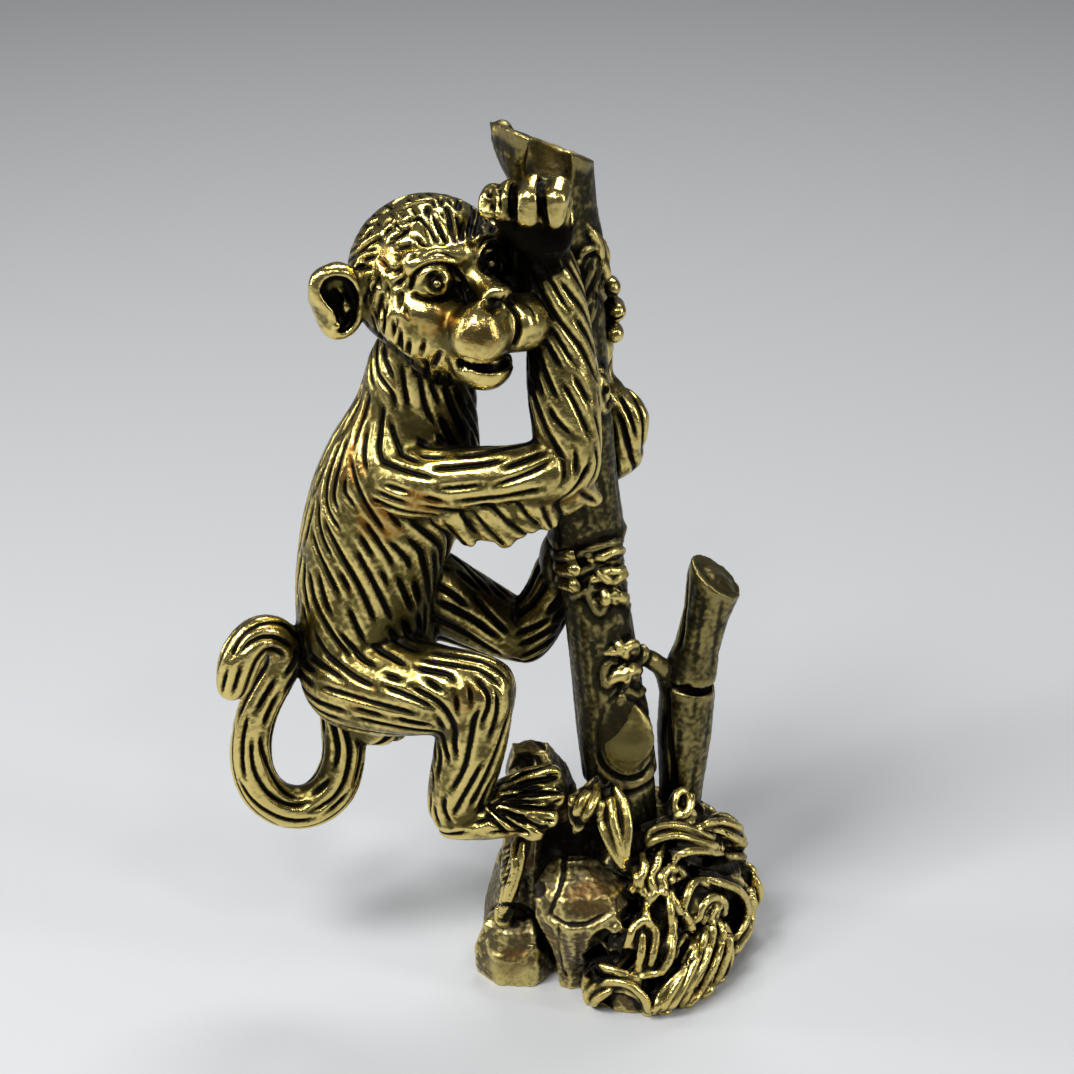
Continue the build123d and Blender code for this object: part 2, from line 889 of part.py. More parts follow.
def rock(levels_shares, half_breadth, half_depth, corner_shares):
    """A faceted rock from places on its axis, each with its own size and turn."""
    with BuildPart() as body:
        for share, size, turn in levels_shares:
            centre = place(share)
            corners = []
            for index, reach in enumerate(corner_shares):
                angle = math.radians(turn) + math.tau * index / len(corner_shares)
                across = half_breadth * size * reach * math.cos(angle)
                deep = half_depth * size * reach * math.sin(angle)
                corners.append((across, deep))
            with BuildSketch(Plane.XY.offset(centre.Z).move(Location((centre.X, centre.Y, 0)))):
                with BuildLine():
                    Polyline(*corners, close=True)
                make_face()
        loft(ruled=True)
    return body.part


rock_shares = {
    "foot_rock": (
        [
            ((-0.083, 0.011, 0), 1.40, 10),
            ((-0.083, 0.005, 0.107), 1.26, 14),
            ((-0.084, 0, 0.18), 1.12, 20),
            ((-0.092, -0.007, 0.24), 0.90, 26),
            ((-0.099, -0.011, 0.277), 0.50, 30),
        ],
        rock_half_breadth,
        rock_half_depth,
        [1.0, 0.92, 1.06, 0.95, 1.05, 0.9],
    ),
    "front_left_rock": (
        [
            ((-0.116, -0.044, 0), 0.98, 0),
            ((-0.117, -0.045, 0.035), 1.02, 4),
            ((-0.116, -0.043, 0.067), 0.80, 8),
            ((-0.115, -0.04, 0.077), 0.52, 8),
        ],
        rock_half_breadth,
        low_rock_half_depth,
        [1.0, 1.04, 0.9, 1.05, 0.94, 1.02],
    ),
    "front_boulder": (
        [
            ((-0.052, -0.069, 0), 0.30, 20),
            ((-0.051, -0.075, 0.04), 0.40, 20),
            ((-0.045, -0.084, 0.069), 0.66, 20),
            ((-0.039, -0.088, 0.109), 1.10, 12),
            ((-0.044, -0.08, 0.141), 1.02, 6),
            ((-0.052, -0.069, 0.163), 0.50, 0),
        ],
        boulder_half_breadth,
        boulder_half_depth,
        [1.0, 0.92, 1.0, 0.96, 1.02, 0.94],
    ),
}
for name, (levels, half_breadth, half_depth, corner_shares) in rock_shares.items():
    with BuildPart() as stone:
        add(coped(rock(levels, half_breadth, half_depth, corner_shares)))
    stone.part.label = name
    export_step(stone.part, f"parts/{name}.step")

# Single leaves and buds that lie over the mound

leaves_shares = {
    "hanging_leaf": [(-0.01, -0.033, 0.253), (-0.006, -0.063, 0.217), (0.003, -0.083, 0.167)],
    "bud_leaf": [(-0.022, -0.029, 0.254), (-0.036, -0.051, 0.228), (-0.051, -0.059, 0.194)],
    "right_leaf": [(0.089, -0.008, 0.164), (0.12, 0.02, 0.147), (0.143, 0.037, 0.12), (0.146, 0.04, 0.106)],
    "stalk_foot_bud": [(0.069, -0.027, 0.176), (0.069, -0.008, 0.196), (0.072, 0.012, 0.21)],
}
for name, shares in leaves_shares.items():
    is_bud = "bud" in name
    half_thickness = bud_half_thickness if is_bud else leaf_half_thickness
    with BuildPart() as leaf:
        add(coped(blade(places(shares), leaf_half_width, half_thickness)))
    leaf.part.label = name
    export_step(leaf.part, f"parts/{name}.step")

# Bunches of grass and stems, each bunch in one piece

tufts_shares = {
    "left_leaf": [[(-0.13, -0.059, 0.082), (-0.12, -0.063, 0.133), (-0.108, -0.056, 0.182)]],
    "right_strands": [
        [(0.029, -0.04, 0.184), (0.055, -0.026, 0.186), (0.081, -0.012, 0.172), (0.1, -0.006, 0.155)],
        [(0.035, -0.052, 0.174), (0.069, -0.029, 0.173), (0.1, -0.01, 0.152)],
        [(0.045, -0.068, 0.155), (0.057, -0.052, 0.166), (0.087, -0.029, 0.154), (0.112, -0.002, 0.139)],
    ],
    "crescent_ridge": [
        [
            (0.101, -0.038, 0.124),
            (0.13, -0.01, 0.096),
            (0.15, 0.018, 0.053),
            (0.145, 0, 0.031),
            (0.132, -0.028, 0.028),
        ],
    ],
    "wave_tuft": [
        [(0.108, -0.056, 0.07), (0.121, -0.048, 0.029), (0.114, -0.062, 0.005)],
        [(0.098, -0.068, 0.073), (0.102, -0.076, 0.035), (0.094, -0.089, 0.004)],
        [(0.091, -0.079, 0.069), (0.082, -0.1, 0.04), (0.073, -0.109, 0.004)],
        [(0.082, -0.092, 0.062), (0.064, -0.114, 0.037), (0.05, -0.123, 0.006)],
        [(0.072, -0.103, 0.048), (0.054, -0.12, 0.036), (0.038, -0.127, 0.011)],
    ],
    "front_curled_leaf": [
        [
            (-0.028, -0.103, 0.004),
            (-0.019, -0.115, 0.026),
            (0.003, -0.124, 0.04),
            (0.023, -0.128, 0.033),
            (0.032, -0.128, 0.009),
        ],
        [(-0.03, -0.097, 0.006), (-0.024, -0.107, 0.037), (-0.006, -0.118, 0.053), (0.014, -0.122, 0.052)],
    ],
    "front_grass": [
        [(-0.007, -0.114, 0.059), (-0.008, -0.109, 0.082), (0, -0.103, 0.101)],
        [(0.005, -0.119, 0.059), (0.002, -0.112, 0.084), (0.011, -0.103, 0.104)],
        [(0.022, -0.121, 0.058), (0.013, -0.114, 0.085), (0.023, -0.101, 0.111)],
        [(0.029, -0.121, 0.058), (0.039, -0.112, 0.084), (0.03, -0.102, 0.109)],
        [(0.054, -0.08, 0.132), (0.061, -0.096, 0.099), (0.057, -0.109, 0.071), (0.038, -0.12, 0.055)],
    ],
    "back_grass": [
        [(0.023, -0.063, 0.168), (0.023, -0.077, 0.156), (0.017, -0.086, 0.138)],
        [(0.038, -0.066, 0.162), (0.036, -0.079, 0.151), (0.028, -0.088, 0.135)],
        [(0.054, -0.062, 0.157), (0.052, -0.075, 0.146), (0.04, -0.086, 0.132)],
    ],
    "socket_leaves": [
        [(0.072, -0.084, 0.102), (0.079, -0.073, 0.119), (0.09, -0.052, 0.124)],
        [(0.088, -0.073, 0.092), (0.093, -0.063, 0.107), (0.101, -0.047, 0.113)],
        [(0.101, -0.062, 0.079), (0.107, -0.05, 0.093), (0.112, -0.036, 0.1)],
    ],
    "far_right_leaf": [[(0.145, 0.003, 0.033), (0.159, 0.042, 0.042), (0.154, 0.046, 0.076)]],
}
for name, table in tufts_shares.items():
    radius = ridge_radius if name == "crescent_ridge" else strand_radius
    with BuildPart() as tuft:
        add(coped(strands(table, radius)))
    tuft.part.label = name
    export_step(tuft.part, f"parts/{name}.step")
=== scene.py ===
# %% [markdown]
# # A cast brass monkey on a bamboo stalk
#
# The real object is a small solid casting. A carver makes it in wax, cuts the fur with a
# gouge, casts it in brass, blackens it all over and then rubs the high places bright.
# This lesson follows the same order: the imported solids are the wax blank, the gouge is a
# push along the surface's normals, and the rubbing is worked out from how deep each place lies.
# Shade is painted into the colour as well, where other metal hides the sky and along some lines.

# %% Load the imported model
import json
import math
import random

import bmesh
import bpy
import numpy as np
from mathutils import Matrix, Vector
from mathutils.bvhtree import BVHTree
from mathutils.kdtree import KDTree
from mathutils.noise import noise


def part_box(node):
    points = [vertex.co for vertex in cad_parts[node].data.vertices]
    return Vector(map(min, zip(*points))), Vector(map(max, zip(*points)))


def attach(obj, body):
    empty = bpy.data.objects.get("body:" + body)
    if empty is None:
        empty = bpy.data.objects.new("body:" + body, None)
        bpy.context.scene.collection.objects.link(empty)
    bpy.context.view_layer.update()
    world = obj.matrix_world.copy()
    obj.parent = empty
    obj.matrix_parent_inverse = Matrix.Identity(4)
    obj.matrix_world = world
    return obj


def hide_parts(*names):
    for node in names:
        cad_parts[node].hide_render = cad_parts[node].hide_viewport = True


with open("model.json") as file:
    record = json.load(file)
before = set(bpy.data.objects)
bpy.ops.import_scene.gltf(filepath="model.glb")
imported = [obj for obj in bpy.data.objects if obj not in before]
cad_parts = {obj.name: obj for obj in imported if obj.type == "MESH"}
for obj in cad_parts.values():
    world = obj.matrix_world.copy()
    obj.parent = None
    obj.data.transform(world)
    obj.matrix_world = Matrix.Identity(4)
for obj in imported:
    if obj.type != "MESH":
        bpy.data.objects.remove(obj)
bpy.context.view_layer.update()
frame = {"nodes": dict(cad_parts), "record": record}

mm = 0.001

# %% [markdown]
# ## The camera
#
# The photograph looks down on the figure through a long lens, so the stalks hardly converge.
# The camera comes before any piece, because the strokes of the fur are drawn over the
# photograph, in its pixels, and each one is then laid on the surface that the pixel sees.

# %% Place the camera
photo_side = 1074
lens_in_pixels = 2728
camera_tilt = math.radians(26)
camera_distance = 220 * mm
looked_at = Vector((-6.9, 0, 39.9)) * mm
view_line = Vector((0, math.cos(camera_tilt), -math.sin(camera_tilt)))
view_up = Vector((0, math.sin(camera_tilt), math.cos(camera_tilt)))
camera_place = looked_at - view_line * camera_distance
bpy.ops.object.camera_add(location=camera_place, rotation=(math.pi / 2 - camera_tilt, 0, 0))
camera = bpy.context.object
camera.data.sensor_width = 36
camera.data.lens = camera.data.sensor_width * lens_in_pixels / photo_side
camera.data.clip_start = 10 * mm
bpy.context.scene.camera = camera
print("lens in mm:", round(camera.data.lens, 1))


# %% See along a pixel
def sight(u, v):
    """The direction in which a pixel of the photograph looks."""
    right = (u - photo_side / 2) / lens_in_pixels
    up = (photo_side / 2 - v) / lens_in_pixels
    return (view_line + view_up * up + Vector((1, 0, 0)) * right).normalized()


# %% [markdown]
# ## From solids to one skin
#
# On the casting, an arm grows out of the body without a seam, while the solids meet in hard
# corners. So copies of the solids are swollen by a hair, joined and remeshed: the remesh turns
# all that overlaps into one skin of even squares, which is also what a gouge needs to bite on.
# Sculpting each piece by hand would give the same surface, but not the same place twice.

# %% Helpers for selecting and reading
def only(*objects):
    """Selects these objects and nothing else, with the first one active."""
    bpy.ops.object.select_all(action="DESELECT")
    for each in objects:
        each.select_set(True)
    bpy.context.view_layer.objects.active = objects[0]


def read(collection, field, width, kind=np.float64):
    """One field of every item in a mesh's list, as an array."""
    values = np.empty(len(collection) * width, kind)
    collection.foreach_get(field, values)
    return values.reshape(-1, width) if width > 1 else values


def tree_of(places):
    """A search tree that answers with a place's number in the list."""
    tree = KDTree(len(places))
    for index, place in enumerate(places):
        tree.insert(place, index)
    tree.balance()
    return tree


def solid_trees(names):
    """One tree for each solid, to find its nearest face or where a ray meets it."""
    graph = bpy.context.evaluated_depsgraph_get()
    return [BVHTree.FromObject(frame["nodes"][name], graph) for name in names]


def node_copies(names):
    """A copy of each solid, its own doubles merged, left in the scene."""
    copies = []
    for name in names:
        copy = bpy.data.objects.new("copy_" + name, frame["nodes"][name].data.copy())
        bpy.context.scene.collection.objects.link(copy)
        copies.append(copy)
    only(*copies)
    bpy.ops.object.mode_set(mode="EDIT")
    bpy.ops.mesh.select_all(action="SELECT")
    bpy.ops.mesh.remove_doubles(threshold=0.001 * mm)
    bpy.ops.object.mode_set(mode="OBJECT")
    return copies


# %% Turn copies into one skin
swell = 0.06 * mm


def one_skin(name, pieces, grain):
    """Joins the pieces and remeshes them to squares of the given size."""
    only(*pieces)
    bpy.ops.object.join()
    skin = bpy.context.object
    skin.name = skin.data.name = name
    bpy.ops.object.modifier_add(type="DISPLACE")
    skin.modifiers[-1].strength = swell
    skin.modifiers[-1].mid_level = 0
    bpy.ops.object.modifier_apply(modifier=skin.modifiers[-1].name)
    bpy.ops.object.modifier_add(type="REMESH")
    skin.modifiers[-1].mode = "VOXEL"
    skin.modifiers[-1].voxel_size = grain
    bpy.ops.object.modifier_apply(modifier=skin.modifiers[-1].name)
    print(name, "has", len(skin.data.polygons), "squares")
    return skin


# %% Which solid each place came from
label_margin = 0.6 * mm
beyond_all = 1.0  # in metres, farther off than any solid


def labels_of(points, names):
    """The number, in names, of the solid that lies nearest to each point."""
    trees = solid_trees(names)
    found = np.zeros(len(points), int)
    boxes = [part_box(name) for name in names]
    low = np.array([box[0] for box in boxes]) - label_margin
    high = np.array([box[1] for box in boxes]) + label_margin
    for index, point in enumerate(points):
        near = np.flatnonzero(((point > low) & (point < high)).all(1))
        if len(near) == 1:
            found[index] = near[0]
            continue
        best = beyond_all
        for number in near:
            distance = trees[number].find_nearest(point, best)[3]
            if distance is not None and distance < best:
                best = distance
                found[index] = number
    return found


# %% [markdown]
# ## The gouge
#
# A `Skin` holds the surface's points as arrays. Pushing points along their normals is what
# Blender's sculpt brushes do, and doing it in arrays makes the same strokes on every run.

# %% A surface to carve
class Skin:
    """A mesh's points and outward normals, which can be pushed and written back."""

    def __init__(self, piece, names):
        self.piece = piece
        self.names = names
        self.points = read(piece.data.vertices, "co", 3)
        self.edges = read(piece.data.edges, "vertices", 2, np.int32)
        self.crowding = np.bincount(self.edges.ravel(), minlength=len(self.points)).clip(1)
        self.corners = read(piece.data.loops, "vertex_index", 1, np.int32).reshape(-1, 4)
        self.labels = labels_of(self.points, names)
        # This holds the bath's black in the grooves, and also painted shade laid on along some lines and
        # spots.
        self.patina_and_shade = np.zeros(len(self.points))
        self.refresh()

    def refresh(self):
        """Writes the points back, and reads the normals and the search tree again."""
        mesh = self.piece.data
        mesh.vertices.foreach_set("co", self.points.ravel())
        mesh.update()
        self.normals = read(mesh.vertex_normals, "vector", 3)
        self.tree = BVHTree.FromObject(self.piece, bpy.context.evaluated_depsgraph_get())

    def neighbours_mean(self, values):
        """For each point, the mean of a value over the points that an edge joins to it."""
        ends = self.edges
        total = np.zeros_like(values)
        columns = values.reshape(len(values), -1)
        summed = total.reshape(len(values), -1)
        for column in range(columns.shape[1]):
            picked = columns[:, column]
            summed[:, column] = np.bincount(ends[:, 0], picked[ends[:, 1]], len(values))
            summed[:, column] += np.bincount(ends[:, 1], picked[ends[:, 0]], len(values))
        return (summed / self.crowding[:, None]).reshape(values.shape)

    def relax(self, rounds):
        """Moves every point halfway to the mean of its neighbours, again and again."""
        for _ in range(rounds):
            self.points += (self.neighbours_mean(self.points) - self.points) * 0.5

    def of(self, *names):
        """A mask of the points that came from these solids."""
        return np.isin(self.labels, [self.names.index(name) for name in names])


# %% Press, pull and relax
def reaches_from(skin, centre, reach):
    """How far each point lies from a centre, counted in reaches."""
    return np.linalg.norm(skin.points - np.array(centre), axis=1) / reach


def push(skin, centre, reach, amount, mask=None, along=None):
    """A soft dome pulled out of the surface, or a dent where the amount is negative."""
    offset = reaches_from(skin, centre, reach)
    share = np.where(offset < 1, (1 - offset.clip(0, 1) ** 2) ** 2, 0)
    if mask is not None:
        share = share * mask
    way = skin.normals if along is None else np.array(along)
    skin.points += way * (share * amount)[:, None]


def relax_only(skin, mask, rounds):
    """Relaxes part of a skin and leaves the rest where it was."""
    kept = skin.points.copy()
    skin.relax(rounds)
    soft = mask.astype(float)
    for _ in range(6):
        soft = skin.neighbours_mean(soft)
    skin.points = kept + (skin.points - kept) * soft[:, None]


# %% Lay a drawn line on the surface
def smooth_line(corners, step):
    """A Catmull-Rom curve through the corners, with places about one step apart."""
    corners = [Vector(corner) for corner in corners]
    padded = [corners[0] * 2 - corners[1], *corners, corners[-1] * 2 - corners[-2]]
    places = []
    for before, start, end, after in zip(padded, padded[1:], padded[2:], padded[3:]):
        count = max(1, int((end - start).length / step))
        for index in range(count):
            t = index / count
            places.append(
                (
                    start * 2
                    + (end - before) * t
                    + (before * 2 - start * 5 + end * 4 - after) * t**2
                    + (start * 3 - before - end * 3 + after) * t**3
                )
                / 2
            )
    return [*places, corners[-1]]


def drawn(skin, pixels, names=None):
    """The places of the surface that a line drawn over the photograph covers."""
    wanted = None if names is None else {skin.names.index(name) for name in names}
    places = []
    for u, v in smooth_line(pixels, 1.0):
        way = sight(u, v)
        origin = camera_place
        for _ in range(4):  # looks through other pieces until it meets a wanted one
            hit, _, face, _ = skin.tree.ray_cast(origin, way)
            if hit is None:
                break
            if wanted is None or skin.labels[skin.corners[face][0]] in wanted:
                places.append(hit)
                break
            origin = hit + way * 0.01 * mm
    return places


def all_drawn(skin, lines, names=None):
    """The places of several drawn lines, one list for each."""
    return [drawn(skin, line, names) for line in lines]


def spot(skin, u, v, names=None):
    """The one place of a skin that a pixel sees."""
    places = drawn(skin, [(u, v), (u + 1, v)], names)
    return places[0] if places else None


# %% Cut grooves
def cut(skin, strokes, depth, reach, sharpness=2.0, taper=0.9 * mm, mask=None):
    """Cuts along the strokes: deepest on the line and rising to nothing at the reach."""
    samples = []
    for places in strokes:
        if len(places) < 3:
            continue
        whole = sum((b - a).length for a, b in zip(places, places[1:]))
        run = 0.0
        for before, place in zip([places[0], *places], places):
            run += (place - before).length
            samples.append((place, min(1.0, 0.25 + min(run, whole - run) / taper)))
    tree = tree_of([place for place, _ in samples])
    depths = np.zeros(len(skin.points))
    chosen = np.arange(len(skin.points)) if mask is None else np.flatnonzero(mask)
    for point in chosen:
        _, index, distance = tree.find(skin.points[point])
        if distance < reach:
            depths[point] = samples[index][1] * (1 - distance / reach) ** sharpness
    skin.points -= skin.normals * (depths * depth)[:, None]
    skin.patina_and_shade = np.maximum(skin.patina_and_shade, (depths * 1.5).clip(0, 1) * min(1.0, depth / (0.25 * mm)))


def clear_ink(skin, strokes, reach):
    """Rubs the blackening off along lines that stand proud."""
    tree = tree_of([place for stroke in strokes for place in stroke])
    for point in np.flatnonzero(skin.patina_and_shade > 0.05):
        distance = tree.find(skin.points[point])[2]
        if distance < reach:
            skin.patina_and_shade[point] *= distance / reach


# %% Blacken and polish one place at a time
def blacken(skin, u, v, reach, names=None, strength=1.0):
    """Leaves black in one place, for the bath's patina in a hollow and for painted shade."""
    near = reaches_from(skin, spot(skin, u, v, names), reach)
    skin.patina_and_shade = np.maximum(skin.patina_and_shade, (1.4 - near * 1.4).clip(0, strength))


def polish(skin, u, v, reach, names=None):
    """Rubs the black off one place."""
    near = reaches_from(skin, spot(skin, u, v, names), reach)
    skin.patina_and_shade *= (near * 1.5 - 0.4).clip(0, 1)


def paint_shade_along(skin, pixels, reach, names, strength):
    """Paints shade as a soft band of black along a drawn line."""
    tree = tree_of(drawn(skin, pixels, names))
    for point in np.flatnonzero(skin.of(*names)):
        share = 1.5 * (1 - tree.find(skin.points[point])[2] / reach)
        skin.patina_and_shade[point] = max(skin.patina_and_shade[point], min(strength, share))


# %% [markdown]
# ## The monkey's blank
#
# Head, body, limbs and tail become one skin. A little relaxing takes away the rings where one
# solid ran into the next, as a thumb does in wax, and the face is eased more than the fingers.

# %% The head's own directions
head_centre = Vector((-15.2, -1.0, 62.8)) * mm
head_turn = math.radians(40)
face_forward = Vector((math.sin(head_turn), -math.cos(head_turn), 0))
face_left = Vector((math.cos(head_turn), math.sin(head_turn), 0))


def on_face(forward, left, rise):
    """A place given in millimetres from the head's centre, in the head's own directions."""
    return head_centre + (face_forward * forward + face_left * left + Vector((0, 0, rise))) * mm


def from_head(points):
    """How far points lie before the head's centre, to its left and above it, in millimetres."""
    offsets = (points - np.array(head_centre)) / mm
    return offsets @ np.array(face_forward), offsets @ np.array(face_left), offsets[:, 2]


# %% Join the monkey
monkey_nodes = [
    "head", "right_ear", "left_ear", "torso", "right_upper_arm", "right_forearm",
    "left_upper_arm", "left_forearm", "right_thigh", "right_shin", "left_thigh", "left_shin",
    "tail", "right_arm_fringe", "right_hand", "left_hand", "right_foot", "left_foot",
]
fine_grain = 0.14 * mm


def wax(centre, radii, lean=0.0):
    """A lump of wax, in millimetres, that is worked into a skin."""
    turn = (0, math.radians(lean), 0)
    place = Vector(centre) * mm
    bpy.ops.mesh.primitive_ico_sphere_add(subdivisions=4, radius=mm, location=place, rotation=turn)
    bpy.context.object.scale = radii
    bpy.ops.object.transform_apply(location=True, rotation=True, scale=True)
    return bpy.context.object


added_wax = [
    wax((-8.1, -0.6, 63.6), (2.1, 2.0, 4.2)),  # ties the wrist to the brow
    wax((-10.4, -6.2, 45.2), (4.4, 1.2, 2.6), 4),  # hair that hangs under the arm
    wax((-6.0, -5.9, 46.2), (3.3, 1.1, 1.9), -14),
    wax(on_face(4.6, -2.3, -1.8) / mm, (1.8, 1.8, 1.8)),  # muzzle into cheek
    wax(on_face(4.2, -1.9, -4.2) / mm, (1.9, 1.9, 1.9)),  # cheek into jaw
    wax(on_face(5.5, -1.5, -3.9) / mm, (1.8, 1.8, 1.8)),  # muzzle into jaw
    wax(on_face(5.5, -2.4, -2.8) / mm, (1.7, 1.7, 1.7)),
]
monkey = Skin(one_skin("monkey", [*node_copies(monkey_nodes), *added_wax], fine_grain), monkey_nodes)
monkey.relax(10)
relax_only(monkey, monkey.of("torso", "right_thigh", "right_upper_arm", "right_shin"), 30)
relax_only(monkey, monkey.of("head"), 14)
forward, _, upward = from_head(monkey.points)
low_face = monkey.of("head") & (forward > 2.5) & (upward < 0.2)
relax_only(monkey, low_face, 45)
monkey.refresh()

# %% [markdown]
# ## The face
#
# The face is what everyone looks at first, so each lid, nostril and lip is its own stroke. The
# eyes are small domes in dark sockets, and the smile is one deep cut that turns up at its end.

# %% Model the face
face = monkey.of("head")
for u, v, reach, amount in (
    (436, 283, 2.4, 0.55),  # right socket, filled out
    (493, 262, 1.9, 0.5),  # left socket, filled out
    (464, 296, 1.4, -0.45),  # corner between the right eye and the nose
    (478, 312, 2.2, 0.35),  # muzzle, below the nose
    (408, 338, 2.6, -0.5),  # cheek, flattened
    (392, 350, 2.2, -0.35),
    (432, 316, 2.2, 0.3),  # cheekbone
    (499, 298, 2.0, 0.75),  # nose
    (522, 322, 1.7, 0.3),  # left half of the upper lip
    (440, 262, 1.8, 0.25),  # right brow
    (492, 243, 1.2, 0.2),  # left brow
    (492, 382, 1.8, 0.25),  # chin
):
    push(monkey, spot(monkey, u, v, ["head"]), reach * mm, amount * mm, face)
monkey.refresh()
forward, _, _ = from_head(monkey.points)
relax_only(monkey, face & (forward > 3.6), 16)
monkey.refresh()
eyes = ((437, 284, 0.95), (492, 264, 0.85))  # each one's pixel, and its reach in millimetres
for u, v, reach in eyes:
    push(monkey, spot(monkey, u, v, ["head"]), reach * mm, 0.5 * mm, face)
monkey.refresh()

# %% Cut the lines of the face
deep_face_lines = [
    [(409, 291), (413, 278), (421, 270), (434, 264), (450, 267), (461, 278), (468, 292)],
    [(412, 294), (424, 298), (438, 299), (451, 296), (462, 300)],
    [(458, 282), (463, 292), (466, 304)],
    [(481, 264), (486, 251), (494, 245), (502, 252), (506, 266)],
    [(482, 267), (490, 274), (499, 275), (506, 270)],
    [(458, 370), (461, 362), (467, 359)],
    [(512, 305), (518, 317), (519, 333), (514, 347)],
]
soft_face_lines = [
    [(424, 283), (433, 275), (446, 275)],
    [(423, 257), (440, 252), (458, 260)],
    [(479, 252), (484, 240), (494, 236)],
    [(524, 302), (532, 309), (537, 322)],
    [(446, 358), (456, 378), (476, 390), (500, 388), (516, 377)],
]
ring_turns = [math.tau * step / 12 for step in range(13)]
for u, v, reach in eyes:  # the dark ring round each eye
    radius = 9.5 * reach
    around = [(u + radius * math.cos(turn), v + radius * math.sin(turn)) for turn in ring_turns]
    deep_face_lines.append(around)
head_hair_lines = [
    [(373, 310), (378, 327)], [(382, 306), (383, 323), (380, 340)], [(392, 320), (393, 338)],
    [(400, 330), (399, 351)], [(409, 340), (407, 361)], [(424, 341), (421, 356)],
    [(440, 352), (433, 369)], [(412, 368), (419, 382)], [(426, 361), (428, 378)],
    [(438, 372), (440, 388)], [(387, 347), (392, 365)], [(397, 361), (402, 378)],
    [(368, 330), (371, 347)], [(378, 354), (383, 371)], [(448, 374), (452, 388)],
    [(392, 204), (406, 196), (420, 194)], [(399, 211), (412, 204), (430, 200)],
    [(378, 214), (394, 207)], [(364, 228), (378, 218)], [(358, 240), (373, 228)],
    [(354, 255), (368, 243), (379, 238)], [(360, 260), (376, 255)], [(349, 270), (365, 264)],
    [(382, 235), (395, 223)], [(389, 242), (405, 231), (413, 224)], [(395, 249), (413, 243)],
    [(402, 221), (419, 218), (430, 228), (437, 242)], [(433, 212), (440, 228), (446, 242)],
    [(446, 204), (450, 218), (452, 233)], [(461, 196), (457, 209)], [(464, 222), (461, 240)],
    [(471, 201), (474, 214), (468, 236)], [(481, 207), (480, 221), (474, 236)],
    [(491, 208), (487, 222)], [(497, 218), (491, 232)], [(429, 203), (426, 214)],
    [(378, 259), (389, 269)], [(392, 274), (402, 269)], [(395, 287), (403, 282)],
    [(375, 272), (380, 287)], [(386, 283), (388, 297)], [(400, 294), (398, 308)],
    [(366, 285), (369, 300)], [(409, 258), (420, 252)], [(414, 236), (426, 246)],
    [(440, 196), (442, 206)], [(384, 226), (392, 216)], [(404, 306), (408, 318)],
]
tiny = 0.3 * mm
cut(monkey, all_drawn(monkey, deep_face_lines, ["head"]), 0.5 * mm, 0.36 * mm, 1.3, tiny, face)
cut(monkey, all_drawn(monkey, soft_face_lines, ["head"]), 0.22 * mm, 0.4 * mm, 1.8, 0.8 * mm, face)
monkey.patina_and_shade *= np.where(face & (monkey.patina_and_shade < 0.5), 0.6, 1)
smile = drawn(monkey, [(461, 365), (470, 362), (485, 366), (503, 364), (520, 356)], ["head"])
cut(monkey, [smile], 1.1 * mm, 0.62 * mm, 0.8, 0.8 * mm, face)
for nostril in ((495, 303), (511, 300)):
    push(monkey, spot(monkey, *nostril, ["head"]), 1.2 * mm, -0.8 * mm, face)
monkey.refresh()

# %% Darken the eyes and nostrils, cut the hair round the face
dark_spots = (
    (495, 303, 1.5), (511, 300, 1.1), (463, 296, 1.0), (453, 288, 0.7), (484, 266, 0.6),
    (437, 282, 1.5), (493, 263, 1.4),
)
for u, v, reach in dark_spots:
    blacken(monkey, u, v, reach * mm, ["head"])
for u, v, reach in eyes:
    polish(monkey, u, v, 0.42 * reach * mm, ["head"])
polish(monkey, 432, 271, 0.45 * mm, ["head"])
monkey.refresh()
cut(monkey, all_drawn(monkey, head_hair_lines, ["head"]), 0.48 * mm, 0.33 * mm, 1.2, 0.8 * mm)
monkey.refresh()
print("face cut with", len(deep_face_lines) + len(soft_face_lines) + len(head_hair_lines), "lines")

# %% Hollow the ear, paint shade on the arm and under the jaw, part the fingers and toes
ears = monkey.of("right_ear", "left_ear")
for u, v, reach, amount in ((338, 300, 1.6, -0.5), (342, 318, 1.3, -0.4), (347, 306, 0.7, 0.75)):
    push(monkey, spot(monkey, u, v, ["right_ear"]), reach * mm, amount * mm, ears)
push(monkey, spot(monkey, 320, 322, ["right_ear"]), 2.2 * mm, 0.9 * mm, ears, (1, 0, 0.3))
push(monkey, spot(monkey, 320, 284, ["right_ear"]), 2.0 * mm, 0.6 * mm, ears, (-0.6, 0, 0.7))
monkey.refresh()
blacken(monkey, 337, 300, 1.9 * mm, ["right_ear"])
blacken(monkey, 342, 320, 1.4 * mm, ["right_ear"])
hand_lines = [
    [(543, 176), (540, 192), (543, 212), (546, 230)],
    [(515, 177), (512, 192), (513, 210), (516, 226)],
    [(499, 186), (497, 198), (499, 212)],
    [(571, 184), (574, 204), (572, 226)],
    [(490, 188), (488, 200), (492, 214)],
]
# Painted shade on the wrist under the fingers and on the forearm's far half.
arm_shadows = [
    ([(512, 236), (530, 242), (550, 242), (572, 238)], 2.0, 0.95),
    ([(520, 258), (545, 264), (560, 256)], 2.2, 0.85),
    ([(530, 280), (532, 300), (530, 340), (528, 376)], 2.0, 0.7),
]
for line, reach, strength in arm_shadows:
    paint_shade_along(monkey, line, reach * mm, ["right_hand", "right_forearm"], strength)
# Painted shade under the jaw.
under_jaw = [(364, 322), (378, 336), (397, 349), (415, 365), (431, 377), (447, 379)]
paint_shade_along(monkey, under_jaw, 0.9 * mm, ["head", "torso"], 0.9)
# Painted shade on the hand's far knuckles.
paint_shade_along(monkey, [(486, 190), (492, 202), (500, 214)], 1.0 * mm, ["right_hand"], 0.45)
push(monkey, spot(monkey, 486, 202), 1.2 * mm, -0.5 * mm, monkey.of("right_hand"))
polish(monkey, 346, 308, 0.5 * mm, ["right_ear"])
